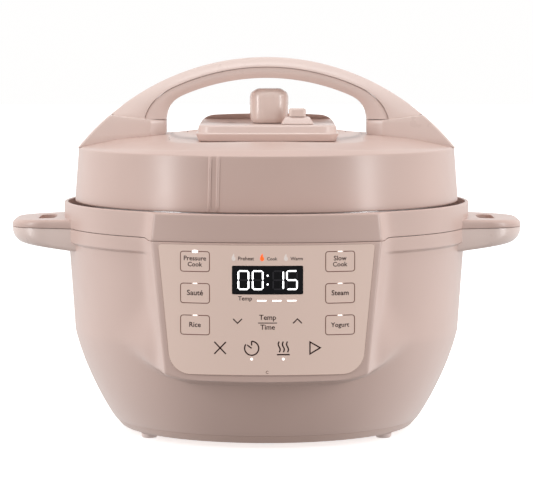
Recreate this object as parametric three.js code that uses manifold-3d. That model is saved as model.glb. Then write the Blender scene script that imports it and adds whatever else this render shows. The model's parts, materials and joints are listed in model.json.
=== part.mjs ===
// Wide electric pressure cooker of the 7 litre class: a round plastic housing with a control pod at
// the front, a collar with two side handles, a removable inner pot and a lid that lifts and turns.
// Millimetres, +Z up, -Y is the front. The origin is on the floor, on the pot's vertical axis.
import * as THREE from 'three';
import { mergeVertices } from 'three/addons/utils/BufferGeometryUtils.js';
import Module from 'manifold-3d';

const wasm = await Module();
wasm.setup();

// ---------------------------------------------------------------- driving dimensions
const GAP = 0.3;                 // clearance between touching pieces
const RING_SEGMENTS = 30;        // facets around the big round pieces
const SMALL_SEGMENTS = 10;       // facets around pins, screws and tubes
const WALL = 3;                  // moulded plastic wall

const COLLAR = { radius: 172, seamZ: 174.5, topZ: 195.4, innerRadius: 169, floorZ: 176.8, neckRadius: 136.5 };
const POD = {
  reach: 176,                    // front of the pod at its middle
  faceRadius: 240,               // the pod's front face is a shallow arc in plan
  creaseLow: [82, 72],           // half width and height of the side crease: at its low end,
  creaseSeam: [92.5, 174.5],     // at the parting line
  creaseHigh: [90.2, 195.4],     // and at the collar's rim
  flankAngle: THREE.MathUtils.degToRad(70),
  lipZ: 62,                      // height of the lower lip, which climbs towards the sides
  lipClimb: 60,
  lipFlatShare: 0.75,            // the lip is level across this share of the face
  underSlope: 2.6,               // steepness of the underside below the face
  cornerSlope: 2.2,              // and beyond the creases
};
// outer radius and height of the round body, from the bottom seam to the collar
const BODY_PROFILE = [
  [129.7, 11.3], [132.2, 14.5], [141.8, 30.5], [151.8, 51.5], [158.8, 69.8], [163.3, 86],
  [165.1, 115], [167.7, 152.4], [168.2, 160], [171.8, 163.5], [172, 174.5], [172, 195.4],
];
const BASE = { bottomZ: 4.5, topZ: 11, lowRadius: 124, highRadius: 129.4, floor: 2.5 };
const FOOT = { x: 98, y: 60, radius: 7, height: 4.2 };
const OUTER_POT = { radius: 135, wall: 2, bottomZ: 26, flangeZ: 183, flange: 3, flangeRadius: 145, toothRadius: 151 };
const INNER_POT = { radius: 130, wall: 2, bottomZ: 44, rimZ: 190, rimRadius: 138 };
const BAYONET = { count: 6, toothAngle: 26, lugAngle: 22, lugZ: 178.5, lugHeight: 3, lugRadius: 147 };
const LID = { skirtZ: 195.6, skirtRadius: 162.8, shoulderRadius: 159.5, shoulderZ: 240.9, deckZ: 252, deckRadius: 88 };
const LINER = { plateZ: 204, sheet: 1.5, plateRadius: 141, skirtRadius: 156.5, skirtTopZ: 200, skirtZ: 178 };
const HANDLE = {
  outerRadius: 204.8, outerCentreZ: 112.2, seamRadius: 189, seamCentreZ: 119.9,
  openRadius: 178, openCentreZ: 121.7, openHalf: 85, seamHalf: 103, jointZ: 264.5,
  gripDepth: 40, stubDepth: 48,
};
const SIDE_HANDLE = {
  tipX: 215.5, halfWidth: 54, rootTopZ: 182, tipTopZ: 180.7, rootLowZ: 156, tipLowZ: 161.5,
  slotX: 186.5, slotWidth: 14, slotLength: 46,
};
const WELL = { halfX: 80, halfY: 108, corner: 25, floorZ: 247, floor: 2.5 };   // the sunk field in the lid's deck
const ISLAND = {
  centreX: 0.65, centreY: -1, halfX: 60.1, halfY: 49, corner: 16,
  lowZ: 247.3, ridgeZ: 253.6, topZ: 260.9, wallTopZ: 268.3,
};
const VALVE = { x: 2.2, halfWidth: 16.4, lowZ: 261.2, topZ: 290.6, bore: 5 };
const SWITCH = { lowX: 17.9, highX: 34.2, backY: -22, frontY: -32, lowZ: 267.6, topZ: 274.5 };
const FLOAT = { x: -30, y: 8, radius: 3.8 };
const FILM = { topZ: 171.5, lowZ: 67.3, halfTop: 87, halfLow: 77, gap: 0.5, sheet: 0.5, lowCorner: 16, topCorner: 3 };
const DISPLAY = { lowX: -27.2, highX: 28.9, lowZ: 132.3, highZ: 154.8 };
const CUP = { halfX: 30, lowZ: 118, topZ: 166, frontY: 157, backY: 177, cornerY: 172, wall: 2 };
const INLET = { halfX: 17, lowZ: 59, topZ: 83, frontY: 137.5, backY: 164, mouthHalfX: 12, mouthLowZ: 64, mouthTopZ: 78 };
const PLATE = { lowZ: 37, topZ: 43.7, radius: 105, hole: 16 };
const SENSOR = { radius: 14, stem: 6, stemLowZ: 21, flangeZ: 38 };
const BRACKET = { lowZ: 23.7, topZ: 25.7, radius: 44, hole: 7.2 };
const BOARD = { lowZ: 12, sheet: 1.6, halfX: 60, frontY: -75, backY: -30 };

// ---------------------------------------------------------------- materials
const plastic = (color, roughness = 0.5) => new THREE.MeshStandardMaterial({ color, roughness, metalness: 0 });
const metal = (color, roughness = 0.3) => new THREE.MeshStandardMaterial({ color, roughness, metalness: 1 });
const FINISH = {
  blush: plastic(0xd8c0b8, 0.45),
  blushDark: plastic(0xc9aca1, 0.45),
  film: plastic(0xcbb2a6, 0.35),
  black: plastic(0x0d0d10, 0.15),
  dark: plastic(0x2c2b2d, 0.6),
  green: plastic(0x2f6b45, 0.5),
  rubber: plastic(0xe6d3cc, 0.8),
  silicone: plastic(0xe9e4df, 0.7),
  steel: metal(0xc8cacc, 0.25),
  aluminium: metal(0xb9bcbf, 0.4),
  brass: metal(0xc9a65a, 0.3),
  cable: plastic(0x3a3a3d, 0.6),
};

// ---------------------------------------------------------------- mesh helpers
// One closed shell: shared vertices merged, collapsed triangles dropped, faces turned outwards.
function closed(geometry) {
  const bare = geometry.clone();
  bare.deleteAttribute('normal');
  bare.deleteAttribute('uv');
  const merged = mergeVertices(bare, 1e-4);
  const place = merged.attributes.position;
  const corner = [0, 1, 2].map(() => new THREE.Vector3());
  const kept = [];
  let volume = 0;
  for (let i = 0; i < merged.index.count; i += 3) {
    const face = [0, 1, 2].map((k) => merged.index.getX(i + k));
    if (new Set(face).size < 3) continue;
    face.forEach((vertex, k) => corner[k].fromBufferAttribute(place, vertex));
    volume += corner[0].dot(corner[1].clone().cross(corner[2]));
    kept.push(...face);
  }
  if (volume < 0) kept.reverse();
  merged.setIndex(kept);
  return merged;
}

function solid(geometry) {
  const shell = closed(geometry);
  return new wasm.Manifold(new wasm.Mesh({
    numProp: 3,
    vertProperties: new Float32Array(shell.attributes.position.array),
    triVerts: new Uint32Array(shell.index.array),
  }));
}

// Joins the `add` geometries to a base and cuts the `cut` geometries from it.
function carve(base, { add = [], cut = [] }) {
  let body = solid(base);
  for (const piece of add) body = body.add(solid(piece));
  for (const piece of cut) body = body.subtract(solid(piece));
  const mesh = body.getMesh();
  const geometry = new THREE.BufferGeometry();
  geometry.setAttribute('position', new THREE.BufferAttribute(mesh.vertProperties, 3));
  geometry.setIndex(new THREE.BufferAttribute(mesh.triVerts, 1));
  return geometry;
}

// A solid of revolution about Z from [radius, z] pairs.
function lathe(profile, { segments = RING_SEGMENTS, loop = false } = {}) {
  const points = profile.map(([radius, z]) => new THREE.Vector2(radius, z));
  if (loop) points.push(points[0].clone());
  return new THREE.LatheGeometry(points, segments).rotateX(Math.PI / 2);
}

// A box from its lowest and highest corners.
function box(low, high) {
  const size = high.map((value, i) => value - low[i]);
  const middle = high.map((value, i) => (value + low[i]) / 2);
  return new THREE.BoxGeometry(...size).translate(...middle);
}

// An upright cylinder between two heights.
function post(x, y, radius, lowZ, highZ, segments = SMALL_SEGMENTS) {
  return lathe([[0, lowZ], [radius, lowZ], [radius, highZ], [0, highZ]], { segments }).translate(x, y, 0);
}

// An outline in the XZ plane, swept along Y over `depth`, centred on y = 0.
function sweepAlongY(shape, depth, curveSegments = 6) {
  return new THREE.ExtrudeGeometry(shape, { depth, bevelEnabled: false, curveSegments, steps: 1 })
    .rotateX(Math.PI / 2).translate(0, depth / 2, 0);
}

// Skins a closed solid over rings that all have the same number of points.
function skin(rings, looped) {
  const count = rings[0].length;
  const index = [];
  const spans = looped ? rings.length : rings.length - 1;
  for (let i = 0; i < spans; i += 1) {
    const low = i * count;
    const high = ((i + 1) % rings.length) * count;
    for (let j = 0; j < count; j += 1) {
      const k = (j + 1) % count;
      index.push(low + j, low + k, high + k, low + j, high + k, high + j);
    }
  }
  const points = rings.flat();
  if (!looped) capEnds(rings, points, index);
  return new THREE.BufferGeometry().setFromPoints(points).setIndex(index);
}

function capEnds(rings, points, index) {
  const count = rings[0].length;
  const last = (rings.length - 1) * count;
  for (const [start, ring] of [[0, rings[0]], [last, rings.at(-1)]]) {
    const centre = ring.reduce((sum, p) => sum.add(p), new THREE.Vector3()).divideScalar(count);
    const hub = points.push(centre) - 1;
    for (let j = 0; j < count; j += 1) {
      const edge = [start + j, start + ((j + 1) % count)];
      if (start === 0) edge.reverse();
      index.push(hub, ...edge);
    }
  }
}

// A flat ring sector between two radii, centred on `middle` degrees.
function sector(innerRadius, outerRadius, middle, width, lowZ, height) {
  const start = THREE.MathUtils.degToRad(middle - width / 2);
  const end = THREE.MathUtils.degToRad(middle + width / 2);
  const shape = new THREE.Shape();
  shape.absarc(0, 0, outerRadius, start, end, false);
  shape.absarc(0, 0, innerRadius, end, start, true);
  return new THREE.ExtrudeGeometry(shape, { depth: height, bevelEnabled: false, curveSegments: 4 })
    .translate(0, 0, lowZ);
}

// A rounded rectangle ring at height z, centred on (x, y).
function roundedRing(x, y, halfX, halfY, radius, z) {
  const perCorner = 4;
  const ring = [];
  for (let corner = 0; corner < 4; corner += 1) {
    const sx = corner === 0 || corner === 3 ? 1 : -1;
    const sy = corner < 2 ? 1 : -1;
    for (let i = 0; i <= perCorner; i += 1) {
      const angle = (corner + i / perCorner) * Math.PI / 2;
      ring.push(new THREE.Vector3(
        x + sx * (halfX - radius) + radius * Math.cos(angle),
        y + sy * (halfY - radius) + radius * Math.sin(angle),
        z,
      ));
    }
  }
  return ring;
}

// A round cable or wire along a smooth path.
function tube(points, radius, steps, sides = 6) {
  const path = new THREE.CatmullRomCurve3(points.map((p) => new THREE.Vector3(...p)));
  return sweepRound(path, radius, steps, sides);
}

function sweepRound(path, radius, steps, sides) {
  const section = new THREE.Shape(new THREE.Path().absarc(0, 0, radius, 0, 2 * Math.PI).getPoints(sides / 2));
  return new THREE.ExtrudeGeometry(section, { extrudePath: path, steps, bevelEnabled: false });
}

// ---------------------------------------------------------------- outer form of the housing
function smoothMin(a, b, blend) {
  const near = Math.max(blend - Math.abs(a - b), 0) / blend;
  return Math.min(a, b) - near * near * blend / 4;
}

const smoothMax = (a, b, blend) => -smoothMin(-a, -b, blend);

function bodyRadius(z) {
  const above = BODY_PROFILE.findIndex(([, height]) => height >= z);
  if (above <= 0) return BODY_PROFILE[above < 0 ? BODY_PROFILE.length - 1 : 0][0];
  const [lowRadius, lowZ] = BODY_PROFILE[above - 1];
  const [highRadius, highZ] = BODY_PROFILE[above];
  return THREE.MathUtils.mapLinear(z, lowZ, highZ, lowRadius, highRadius);
}

// y of the pod's front face at a distance x from the middle
const faceY = (x) => POD.faceRadius - POD.reach - Math.sqrt(POD.faceRadius ** 2 - x ** 2);

function creasePoint(z) {
  const [low, high] = z < COLLAR.seamZ ? [POD.creaseLow, POD.creaseSeam] : [POD.creaseSeam, POD.creaseHigh];
  const x = THREE.MathUtils.mapLinear(z, low[1], high[1], low[0], high[0]);
  return [x, faceY(x)];
}

const creaseAngle = (z) => Math.atan2(creasePoint(z)[0], -creasePoint(z)[1]);

// How far the pod reaches from the axis in the direction `angle`, counted from the front.
function podRadius(angle, z) {
  const centre = (POD.reach - POD.faceRadius) * Math.cos(angle);
  const face = centre + Math.sqrt(centre ** 2 - (POD.faceRadius - POD.reach) ** 2 + POD.faceRadius ** 2);
  const [x, y] = creasePoint(z);
  const offset = x * Math.sin(POD.flankAngle) - y * Math.cos(POD.flankAngle);
  const flank = offset / Math.cos(Math.min(angle, POD.flankAngle) - POD.flankAngle);
  const beyond = Math.max(angle / Math.atan2(x, -y) - POD.lipFlatShare, 0);
  const slope = THREE.MathUtils.lerp(POD.underSlope, POD.cornerSlope, Math.min(beyond / (1 - POD.lipFlatShare), 1));
  const under = POD.reach + 4 + (z - POD.lipZ - POD.lipClimb * beyond ** 2) * slope;
  return smoothMin(smoothMin(face, flank, 1), under, 8);
}

const outerRadius = (angle, z) => smoothMax(bodyRadius(z), podRadius(Math.abs(angle), z), 5);

// The directions of one ring's points: some across the pod's face up to its crease, the rest behind it.
const FACE_STEPS = [0, 0.25, 0.5, 0.75, 0.94, 1];
const SIDE_STEPS = [0.012, 0.03, 0.055, 0.09, 0.15, 0.23, 0.31, 0.39, 0.47, 0.55, 0.63, 0.71, 0.79, 0.87, 0.94, 1];

function ringAngles(z) {
  const crease = creaseAngle(z);
  const half = [...FACE_STEPS.map((t) => t * crease), ...SIDE_STEPS.map((t) => crease + t * (Math.PI - crease))];
  return [...half, ...half.slice(1, -1).reverse().map((angle) => -angle)];
}

function ring(z, radiusAt) {
  return ringAngles(z).map((angle) => {
    const radius = radiusAt(angle);
    return new THREE.Vector3(radius * Math.sin(angle), -radius * Math.cos(angle), z);
  });
}

// ---------------------------------------------------------------- base pieces
function housing() {
  const topZ = COLLAR.seamZ - GAP;
  const outerRows = [11.3, 14.5, 30.5, 48, 53, 57, 60, 63, 67, 86, 115, 160, 163.5, topZ];
  const innerRows = [topZ, 160, 115, 86, 66, 60, 52, 30.5, 11.3];
  const inner = (angle, z) => Math.min(...[z - WALL, z, z + WALL].map((at) => outerRadius(angle, at))) - WALL;
  const shell = skin([
    ...outerRows.map((z) => ring(z, (angle) => outerRadius(angle, z))),
    ...innerRows.map((z) => ring(z, (angle) => inner(angle, z))),
  ], true);
  const inletHole = box([-INLET.halfX - GAP, 130, INLET.lowZ - GAP], [INLET.halfX + GAP, 180, INLET.topZ + GAP]);
  const cupHole = box([-CUP.halfX - 2, 140, CUP.lowZ - 2], [CUP.halfX + 2, 180, CUP.topZ + 4]);
  return carve(shell, { cut: [inletHole, cupHole, displayCutter(0.4)] });
}

function collar() {
  const section = [
    [COLLAR.innerRadius, COLLAR.topZ], [COLLAR.innerRadius, COLLAR.floorZ], [COLLAR.neckRadius + 2.5, COLLAR.floorZ],
    [COLLAR.neckRadius + 2.5, OUTER_POT.flangeZ - GAP], [COLLAR.neckRadius, OUTER_POT.flangeZ - GAP],
    [COLLAR.neckRadius, COLLAR.seamZ],
  ];
  const outerRows = [[COLLAR.seamZ, 0], [COLLAR.topZ - 0.8, 0], [COLLAR.topZ, 0.8]];
  const shell = skin([
    ...outerRows.map(([z, inset]) => ring(z, (angle) => outerRadius(angle, z) - inset)),
    ...section.map(([radius, z]) => ring(z, () => radius)),
  ], true);
  const left = sideHandleUpper().rotateZ(Math.PI);
  return carve(shell, { add: [sideHandleUpper(), left] });
}

// Plan outline of a side handle, from the round body out to its rounded tip.
function sideHandlePlan(rootRadius, halfWidth) {
  const { tipX } = SIDE_HANDLE;
  const spread = Math.asin(halfWidth / rootRadius);
  const shape = new THREE.Shape();
  shape.absarc(0, 0, rootRadius, spread, -spread, true);
  shape.lineTo(tipX - 30, -halfWidth + 8);
  shape.quadraticCurveTo(tipX, -halfWidth + 14, tipX, -14);
  shape.lineTo(tipX, 14);
  shape.quadraticCurveTo(tipX, halfWidth - 14, tipX - 30, halfWidth - 8);
  shape.closePath();
  return shape;
}

const slotBox = (lowZ, highZ) => box(
  [SIDE_HANDLE.slotX - SIDE_HANDLE.slotWidth / 2, -SIDE_HANDLE.slotLength / 2, lowZ],
  [SIDE_HANDLE.slotX + SIDE_HANDLE.slotWidth / 2, SIDE_HANDLE.slotLength / 2, highZ],
);

// Moves one end face of an upright prism onto a plane that slopes along X.
function slope(geometry, isEnd, rootZ, tipZ) {
  const place = geometry.attributes.position;
  for (let i = 0; i < place.count; i += 1) {
    if (isEnd(place.getZ(i))) place.setZ(i, THREE.MathUtils.mapLinear(place.getX(i), 168, SIDE_HANDLE.tipX, rootZ, tipZ));
  }
  return geometry;
}

function sideHandleUpper() {
  const plan = sideHandlePlan(COLLAR.radius - 1.5, SIDE_HANDLE.halfWidth);
  const prism = new THREE.ExtrudeGeometry(plan, { depth: 10, bevelEnabled: false, curveSegments: 6 })
    .translate(0, 0, COLLAR.seamZ);
  const sloped = slope(prism, (z) => z > COLLAR.seamZ + 1, SIDE_HANDLE.rootTopZ, SIDE_HANDLE.tipTopZ);
  return carve(sloped, { cut: [slotBox(COLLAR.seamZ - 5, SIDE_HANDLE.rootTopZ + 5)] });
}

function sideHandleLower() {
  const topZ = COLLAR.seamZ - GAP;
  const plan = sideHandlePlan(COLLAR.radius + 1, SIDE_HANDLE.halfWidth - 1);
  const prism = new THREE.ExtrudeGeometry(plan, { depth: 10, bevelEnabled: false, curveSegments: 6 })
    .translate(0, 0, topZ - 10);
  const sloped = slope(prism, (z) => z < topZ - 1, SIDE_HANDLE.rootLowZ, SIDE_HANDLE.tipLowZ);
  return carve(sloped, { cut: [slotBox(topZ - 11, topZ + 5)] });
}

function bottomCover() {
  const dish = lathe([
    [0, BASE.bottomZ], [BASE.lowRadius, BASE.bottomZ], [BASE.highRadius, BASE.topZ], [BASE.highRadius - WALL, BASE.topZ],
    [BASE.lowRadius - WALL, BASE.bottomZ + BASE.floor], [0, BASE.bottomZ + BASE.floor],
  ]);
  const vents = [-2, -1, 0, 1, 2].map((i) => box([-25, i * 10 - 2, 0], [25, i * 10 + 2, 10]));
  const holes = studPlaces().map(([x, y]) => post(x, y, 2.4, 0, 10));
  return carve(dish, { cut: [...vents, ...holes] });
}

const foot = () => lathe([
  [0, 0], [FOOT.radius - 1, 0], [FOOT.radius - 0.4, 1.2], [FOOT.radius, FOOT.height], [0, FOOT.height],
], { segments: 14 });

// The three studs under the outer pot that the bottom cover is screwed to.
const studPlaces = () => [30, 150, 270].map((degrees) => {
  const angle = THREE.MathUtils.degToRad(degrees);
  return [95 * Math.cos(angle), 95 * Math.sin(angle)];
});

function outerPot() {
  const { radius, wall, bottomZ, flangeZ, flange, flangeRadius, toothRadius } = OUTER_POT;
  const can = lathe([
    [38, bottomZ], [112, bottomZ], [128, bottomZ + 6], [radius, bottomZ + 22], [radius, flangeZ], [flangeRadius, flangeZ],
    [flangeRadius, flangeZ + flange], [radius - wall, flangeZ + flange], [radius - wall, bottomZ + 23],
    [126.8, bottomZ + 7.6], [111.5, bottomZ + wall], [38, bottomZ + wall],
  ], { loop: true });
  const pitch = 360 / BAYONET.count;
  const teeth = Array.from({ length: BAYONET.count }, (_, i) => (
    sector(flangeRadius - 2, toothRadius, i * pitch, BAYONET.toothAngle, flangeZ, flange)));
  const studs = studPlaces().map(([x, y]) => post(x, y, 5, 8, bottomZ + 0.5));
  const holes = studPlaces().map(([x, y]) => post(x, y, 2.2, 7, 17));
  return carve(can, { add: [...teeth, ...studs], cut: holes });
}

// A pan-head screw standing on its head, with the head's underside at the origin's height.
const screw = (headRadius, shankRadius, length) => lathe([
  [0, -2.2], [headRadius, -2.2], [headRadius, 0], [shankRadius, 0], [shankRadius, length], [0, length],
], { segments: 8 });

const heatingPlate = () => lathe([
  [PLATE.hole, PLATE.lowZ], [PLATE.radius - 4, PLATE.lowZ], [PLATE.radius, PLATE.lowZ + 3],
  [PLATE.radius - 3, PLATE.topZ], [PLATE.hole, PLATE.topZ],
], { loop: true });

function heatingCoil() {
  const turn = new THREE.EllipseCurve(0, 0, 75, 75, 0.15, 2 * Math.PI - 0.15);
  const path = new THREE.CatmullRomCurve3(turn.getPoints(20).map((p) => new THREE.Vector3(p.x, p.y, PLATE.lowZ - 4.4)));
  return sweepRound(path, 4, 16, 6);
}

const sensorBracket = () => lathe([
  [BRACKET.hole, BRACKET.lowZ], [BRACKET.radius, BRACKET.lowZ], [BRACKET.radius, BRACKET.topZ], [BRACKET.hole, BRACKET.topZ],
], { segments: 20, loop: true });

function sensorSpring() {
  const lowZ = BRACKET.topZ + 1.2;
  const turns = 3;
  const points = Array.from({ length: turns * 8 + 1 }, (_, i) => {
    const angle = (i / 8) * 2 * Math.PI;
    return new THREE.Vector3(9 * Math.cos(angle), 9 * Math.sin(angle), lowZ + i * (SENSOR.flangeZ - 1.2 - lowZ) / (turns * 8));
  });
  return sweepRound(new THREE.CatmullRomCurve3(points), 0.8, turns * 8, 6);
}

const temperatureSensor = () => lathe([
  [0, SENSOR.stemLowZ], [SENSOR.stem, SENSOR.stemLowZ], [SENSOR.stem, SENSOR.flangeZ], [SENSOR.radius, SENSOR.flangeZ],
  [SENSOR.radius, PLATE.topZ - 1], [SENSOR.radius - 1, PLATE.topZ], [0, PLATE.topZ],
], { segments: 20 });

function powerBoard() {
  const topZ = BOARD.lowZ + BOARD.sheet;
  const board = box([-BOARD.halfX, BOARD.frontY, BOARD.lowZ], [BOARD.halfX, BOARD.backY, topZ]);
  const relay = box([-48, -66, topZ - 0.5], [-28, -50, topZ + 10]);
  const transformer = box([20, -68, topZ - 0.5], [44, -46, topZ + 11]);
  const capacitor = post(4, -56, 7, topZ - 0.5, topZ + 11);
  return carve(board, { add: [relay, transformer, capacitor] });
}

const controlBoard = () => box([-68, -158, 84], [68, -156.4, 160]);

// ---------------------------------------------------------------- control film and display
// A thin panel bent to the pod's face: `sides(z)` gives its left and right edges.
function bentPanel(columns, sides, lowZ, highZ, front, thickness) {
  const rings = columns.map((t) => {
    const corner = (z, offset) => {
      const [left, right] = sides(z);
      const x = THREE.MathUtils.lerp(left, right, t);
      return new THREE.Vector3(x, faceY(x) - offset, z);
    };
    const [low, high] = [lowZ(t), highZ(t)];
    return [corner(low, front), corner(high, front), corner(high, front - thickness), corner(low, front - thickness)];
  });
  return skin(rings, false);
}

// How far a rounded corner of radius r pulls the edge in, at a distance d from the side.
const cornerRise = (d, r) => (d >= r ? 0 : r - Math.sqrt(r * r - (r - d) ** 2));

function controlFilm() {
  const half = (z) => THREE.MathUtils.mapLinear(z, FILM.lowZ, FILM.topZ, FILM.halfLow, FILM.halfTop);
  const columns = [0, 0.012, 0.035, 0.07, 0.13, 0.25, 0.375, 0.5, 0.625, 0.75, 0.87, 0.93, 0.965, 0.988, 1];
  const fromSide = (t) => Math.min(t, 1 - t) * 2 * FILM.halfLow + 0.5;
  const panel = bentPanel(columns, (z) => [-half(z), half(z)],
    (t) => FILM.lowZ + cornerRise(fromSide(t), FILM.lowCorner),
    (t) => FILM.topZ - cornerRise(fromSide(t), FILM.topCorner),
    FILM.gap + FILM.sheet, FILM.sheet);
  return carve(panel, { cut: [displayCutter(0.4)] });
}

const displayCutter = (margin) => box(
  [DISPLAY.lowX - margin, -185, DISPLAY.lowZ - margin],
  [DISPLAY.highX + margin, -165, DISPLAY.highZ + margin],
);

const displayWindow = () => bentPanel([0, 0.25, 0.5, 0.75, 1], () => [DISPLAY.lowX, DISPLAY.highX],
  () => DISPLAY.lowZ, () => DISPLAY.highZ, 0.8, 3.5);

const displayModule = () => box([DISPLAY.lowX, -170, DISPLAY.lowZ], [DISPLAY.highX, -158.4, DISPLAY.highZ]);

// ---------------------------------------------------------------- rear pieces
const INLET_PINS = [-7, 0, 7];   // sideways places of the three contact blades

function pinBox(x, margin) {
  return box([x - 1 - margin, 140 - 5 * margin, 66 - margin], [x + 1 + margin, 160, 70.5 + margin]);
}

function inletSocket() {
  const { halfX, lowZ, topZ, frontY, backY, mouthHalfX, mouthLowZ, mouthTopZ } = INLET;
  const block = box([-halfX, frontY, lowZ], [halfX, backY, topZ]);
  const mouth = box([-mouthHalfX, 146, mouthLowZ], [mouthHalfX, backY + 5, mouthTopZ]);
  return carve(block, { cut: [mouth, ...INLET_PINS.map((x) => pinBox(x, GAP))] });
}

function cupOutline(inset) {
  const { halfX, frontY, backY, cornerY } = CUP;
  const shape = new THREE.Shape();
  shape.moveTo(-halfX + inset, frontY + inset);
  shape.lineTo(halfX - inset, frontY + inset);
  shape.lineTo(halfX - inset, cornerY - inset);
  shape.quadraticCurveTo(0, 2 * backY - cornerY - inset, -halfX + inset, cornerY - inset);
  shape.closePath();
  return shape;
}

function condensationCup() {
  const prism = (inset, lowZ, highZ) => (
    new THREE.ExtrudeGeometry(cupOutline(inset), { depth: highZ - lowZ, bevelEnabled: false, curveSegments: 8 })
      .translate(0, 0, lowZ));
  return carve(prism(0, CUP.lowZ, CUP.topZ), { cut: [prism(CUP.wall, CUP.lowZ + CUP.wall, CUP.topZ + 1)] });
}

// A shallow tray that closes the housing's rear opening behind the cup.
function cupBracket() {
  const block = box([-CUP.halfX - 6, 151.5, CUP.lowZ - 6], [CUP.halfX + 6, 156, CUP.topZ + 6]);
  const recess = box([-CUP.halfX - 2, 154, CUP.lowZ - 2], [CUP.halfX + 2, 170, CUP.topZ + 2]);
  return carve(block, { cut: [recess] });
}

// ---------------------------------------------------------------- pot and seal
const innerPot = () => lathe([
  [0, INNER_POT.bottomZ], [112, INNER_POT.bottomZ], [124, 47], [INNER_POT.radius, 58], [INNER_POT.radius, 186.5],
  [INNER_POT.rimRadius, 186.5], [INNER_POT.rimRadius, 188.8], [INNER_POT.radius + 1, INNER_POT.rimZ],
  [INNER_POT.radius - INNER_POT.wall, 188.4], [INNER_POT.radius - INNER_POT.wall, 59], [122.6, 48.8], [111, 46], [0, 46],
]);

const sealingRing = () => lathe([
  [130, 191], [138.5, 190.4], [140, 192], [140, 203], [139, 203.7], [131, 203.7], [130, 202.5],
  [130, 199.5], [135.5, 199], [135.5, 195.5], [130, 195],
], { loop: true });

const ringRack = () => lathe([[127, 196], [134.8, 196], [134.8, 198.4], [127, 198.4]], { loop: true });

// ---------------------------------------------------------------- lid
const BOSS_PLACES = [45, 135, 225, 315].map((degrees) => {
  const angle = THREE.MathUtils.degToRad(degrees);
  return [100 * Math.cos(angle), 100 * Math.sin(angle)];
});
const HANDLE_SCREWS = [[112, 14], [112, -14], [-112, 14], [-112, -14]];

const lidTop = (lift) => [
  [LID.shoulderRadius, LID.shoulderZ + lift], [150, 245 + lift], [127, 248.6 + lift], [99, 251 + lift],
  [LID.deckRadius, LID.deckZ + lift], [0, LID.deckZ + lift],
];

// The tray under the deck's sunk field: everything above the lid's own surface is cut away from it.
function wellTray() {
  const { halfX, halfY, corner, floorZ, floor } = WELL;
  const layer = (z) => roundedRing(0, 0, halfX + floor, halfY + floor, corner + floor, z);
  const aboveLid = lathe([[0, 300], [170, 300], [170, LID.shoulderZ], ...lidTop(0)]);
  return carve(skin([layer(floorZ - floor), layer(LID.deckZ + 1)], false), { cut: [aboveLid] });
}

function wellCutter() {
  const { halfX, halfY, corner, floorZ } = WELL;
  const layer = (z) => roundedRing(0, 0, halfX, halfY, corner, z);
  return skin([layer(floorZ), layer(floorZ + 20)], false);
}

function lidCover() {
  const shell = lathe([
    [158.2, LID.skirtZ], [161.5, LID.skirtZ], [LID.skirtRadius, 198], ...lidTop(0),
    [0, 249.5], [LID.deckRadius, 249.5], [127, 246], [149, 242.3], [156.4, 238],
  ], { loop: true });
  const bosses = BOSS_PLACES.map(([x, y]) => post(x, y, 5, 206, 250));
  const holes = [
    ...BOSS_PLACES.map(([x, y]) => post(x, y, 2.1, 205, 217)),
    ...HANDLE_SCREWS.map(([x, y]) => post(x, y, 2.3, 240, 256)),
    post(VALVE.x, 0, 5, 240, 260), post(FLOAT.x, FLOAT.y, 4.6, 240, 260),
  ];
  return carve(shell, { add: [wellTray(), ...bosses], cut: [wellCutter(), ...holes] });
}

function lidLiner() {
  const { plateZ, sheet, plateRadius, skirtRadius, skirtTopZ, skirtZ } = LINER;
  const sheetMetal = lathe([
    [0, plateZ], [plateRadius, plateZ], [skirtRadius - sheet, skirtTopZ - 0.8], [skirtRadius - sheet, skirtZ],
    [skirtRadius, skirtZ], [skirtRadius, skirtTopZ], [plateRadius, plateZ + sheet], [0, plateZ + sheet],
  ]);
  const pitch = 360 / BAYONET.count;
  const lugs = Array.from({ length: BAYONET.count }, (_, i) => (
    sector(BAYONET.lugRadius, skirtRadius - 1.1, (i + 0.5) * pitch, BAYONET.lugAngle, BAYONET.lugZ, BAYONET.lugHeight)));
  const holes = [
    ...BOSS_PLACES.map(([x, y]) => post(x, y, 2.4, 200, 210)),
    post(VALVE.x, 0, 4.2, 200, 210), post(FLOAT.x, FLOAT.y, 4.4, 200, 210),
  ];
  return carve(sheetMetal, { add: lugs, cut: holes });
}

// ---------------------------------------------------------------- carrying handle
// An arc about (0, centreZ) in the XZ plane between two signed x positions.
function arcPoints(radius, centreZ, fromX, toX, count) {
  return Array.from({ length: count + 1 }, (_, i) => {
    const x = THREE.MathUtils.lerp(fromX, toX, i / count);
    return new THREE.Vector2(x, centreZ + Math.sqrt(radius ** 2 - x ** 2));
  });
}

const outerArcX = (z) => Math.sqrt(HANDLE.outerRadius ** 2 - (z - HANDLE.outerCentreZ) ** 2);
const mirrored = (points) => points.map((p) => new THREE.Vector2(-p.x, p.y)).reverse();

// The parting line between the upper shell and the grip: an arc that turns down at both ends.
function seamLine(shift) {
  const end = new THREE.Vector2(HANDLE.seamHalf, HANDLE.jointZ);
  const arc = arcPoints(HANDLE.seamRadius, HANDLE.seamCentreZ, -76, 76, 10);
  const bend = new THREE.QuadraticBezierCurve(arc.at(-1), new THREE.Vector2(99, 283), end).getPoints(4).slice(1);
  return [...mirrored(bend), ...arc, ...bend].map((p) => new THREE.Vector2(p.x, p.y + shift));
}

function handleTopShell() {
  const lowZ = HANDLE.jointZ + GAP;
  const endX = outerArcX(lowZ);
  const outer = arcPoints(HANDLE.outerRadius, HANDLE.outerCentreZ, endX, -endX, 18);
  return sweepAlongY(new THREE.Shape([...outer, ...seamLine(GAP)]), HANDLE.gripDepth);
}

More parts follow.
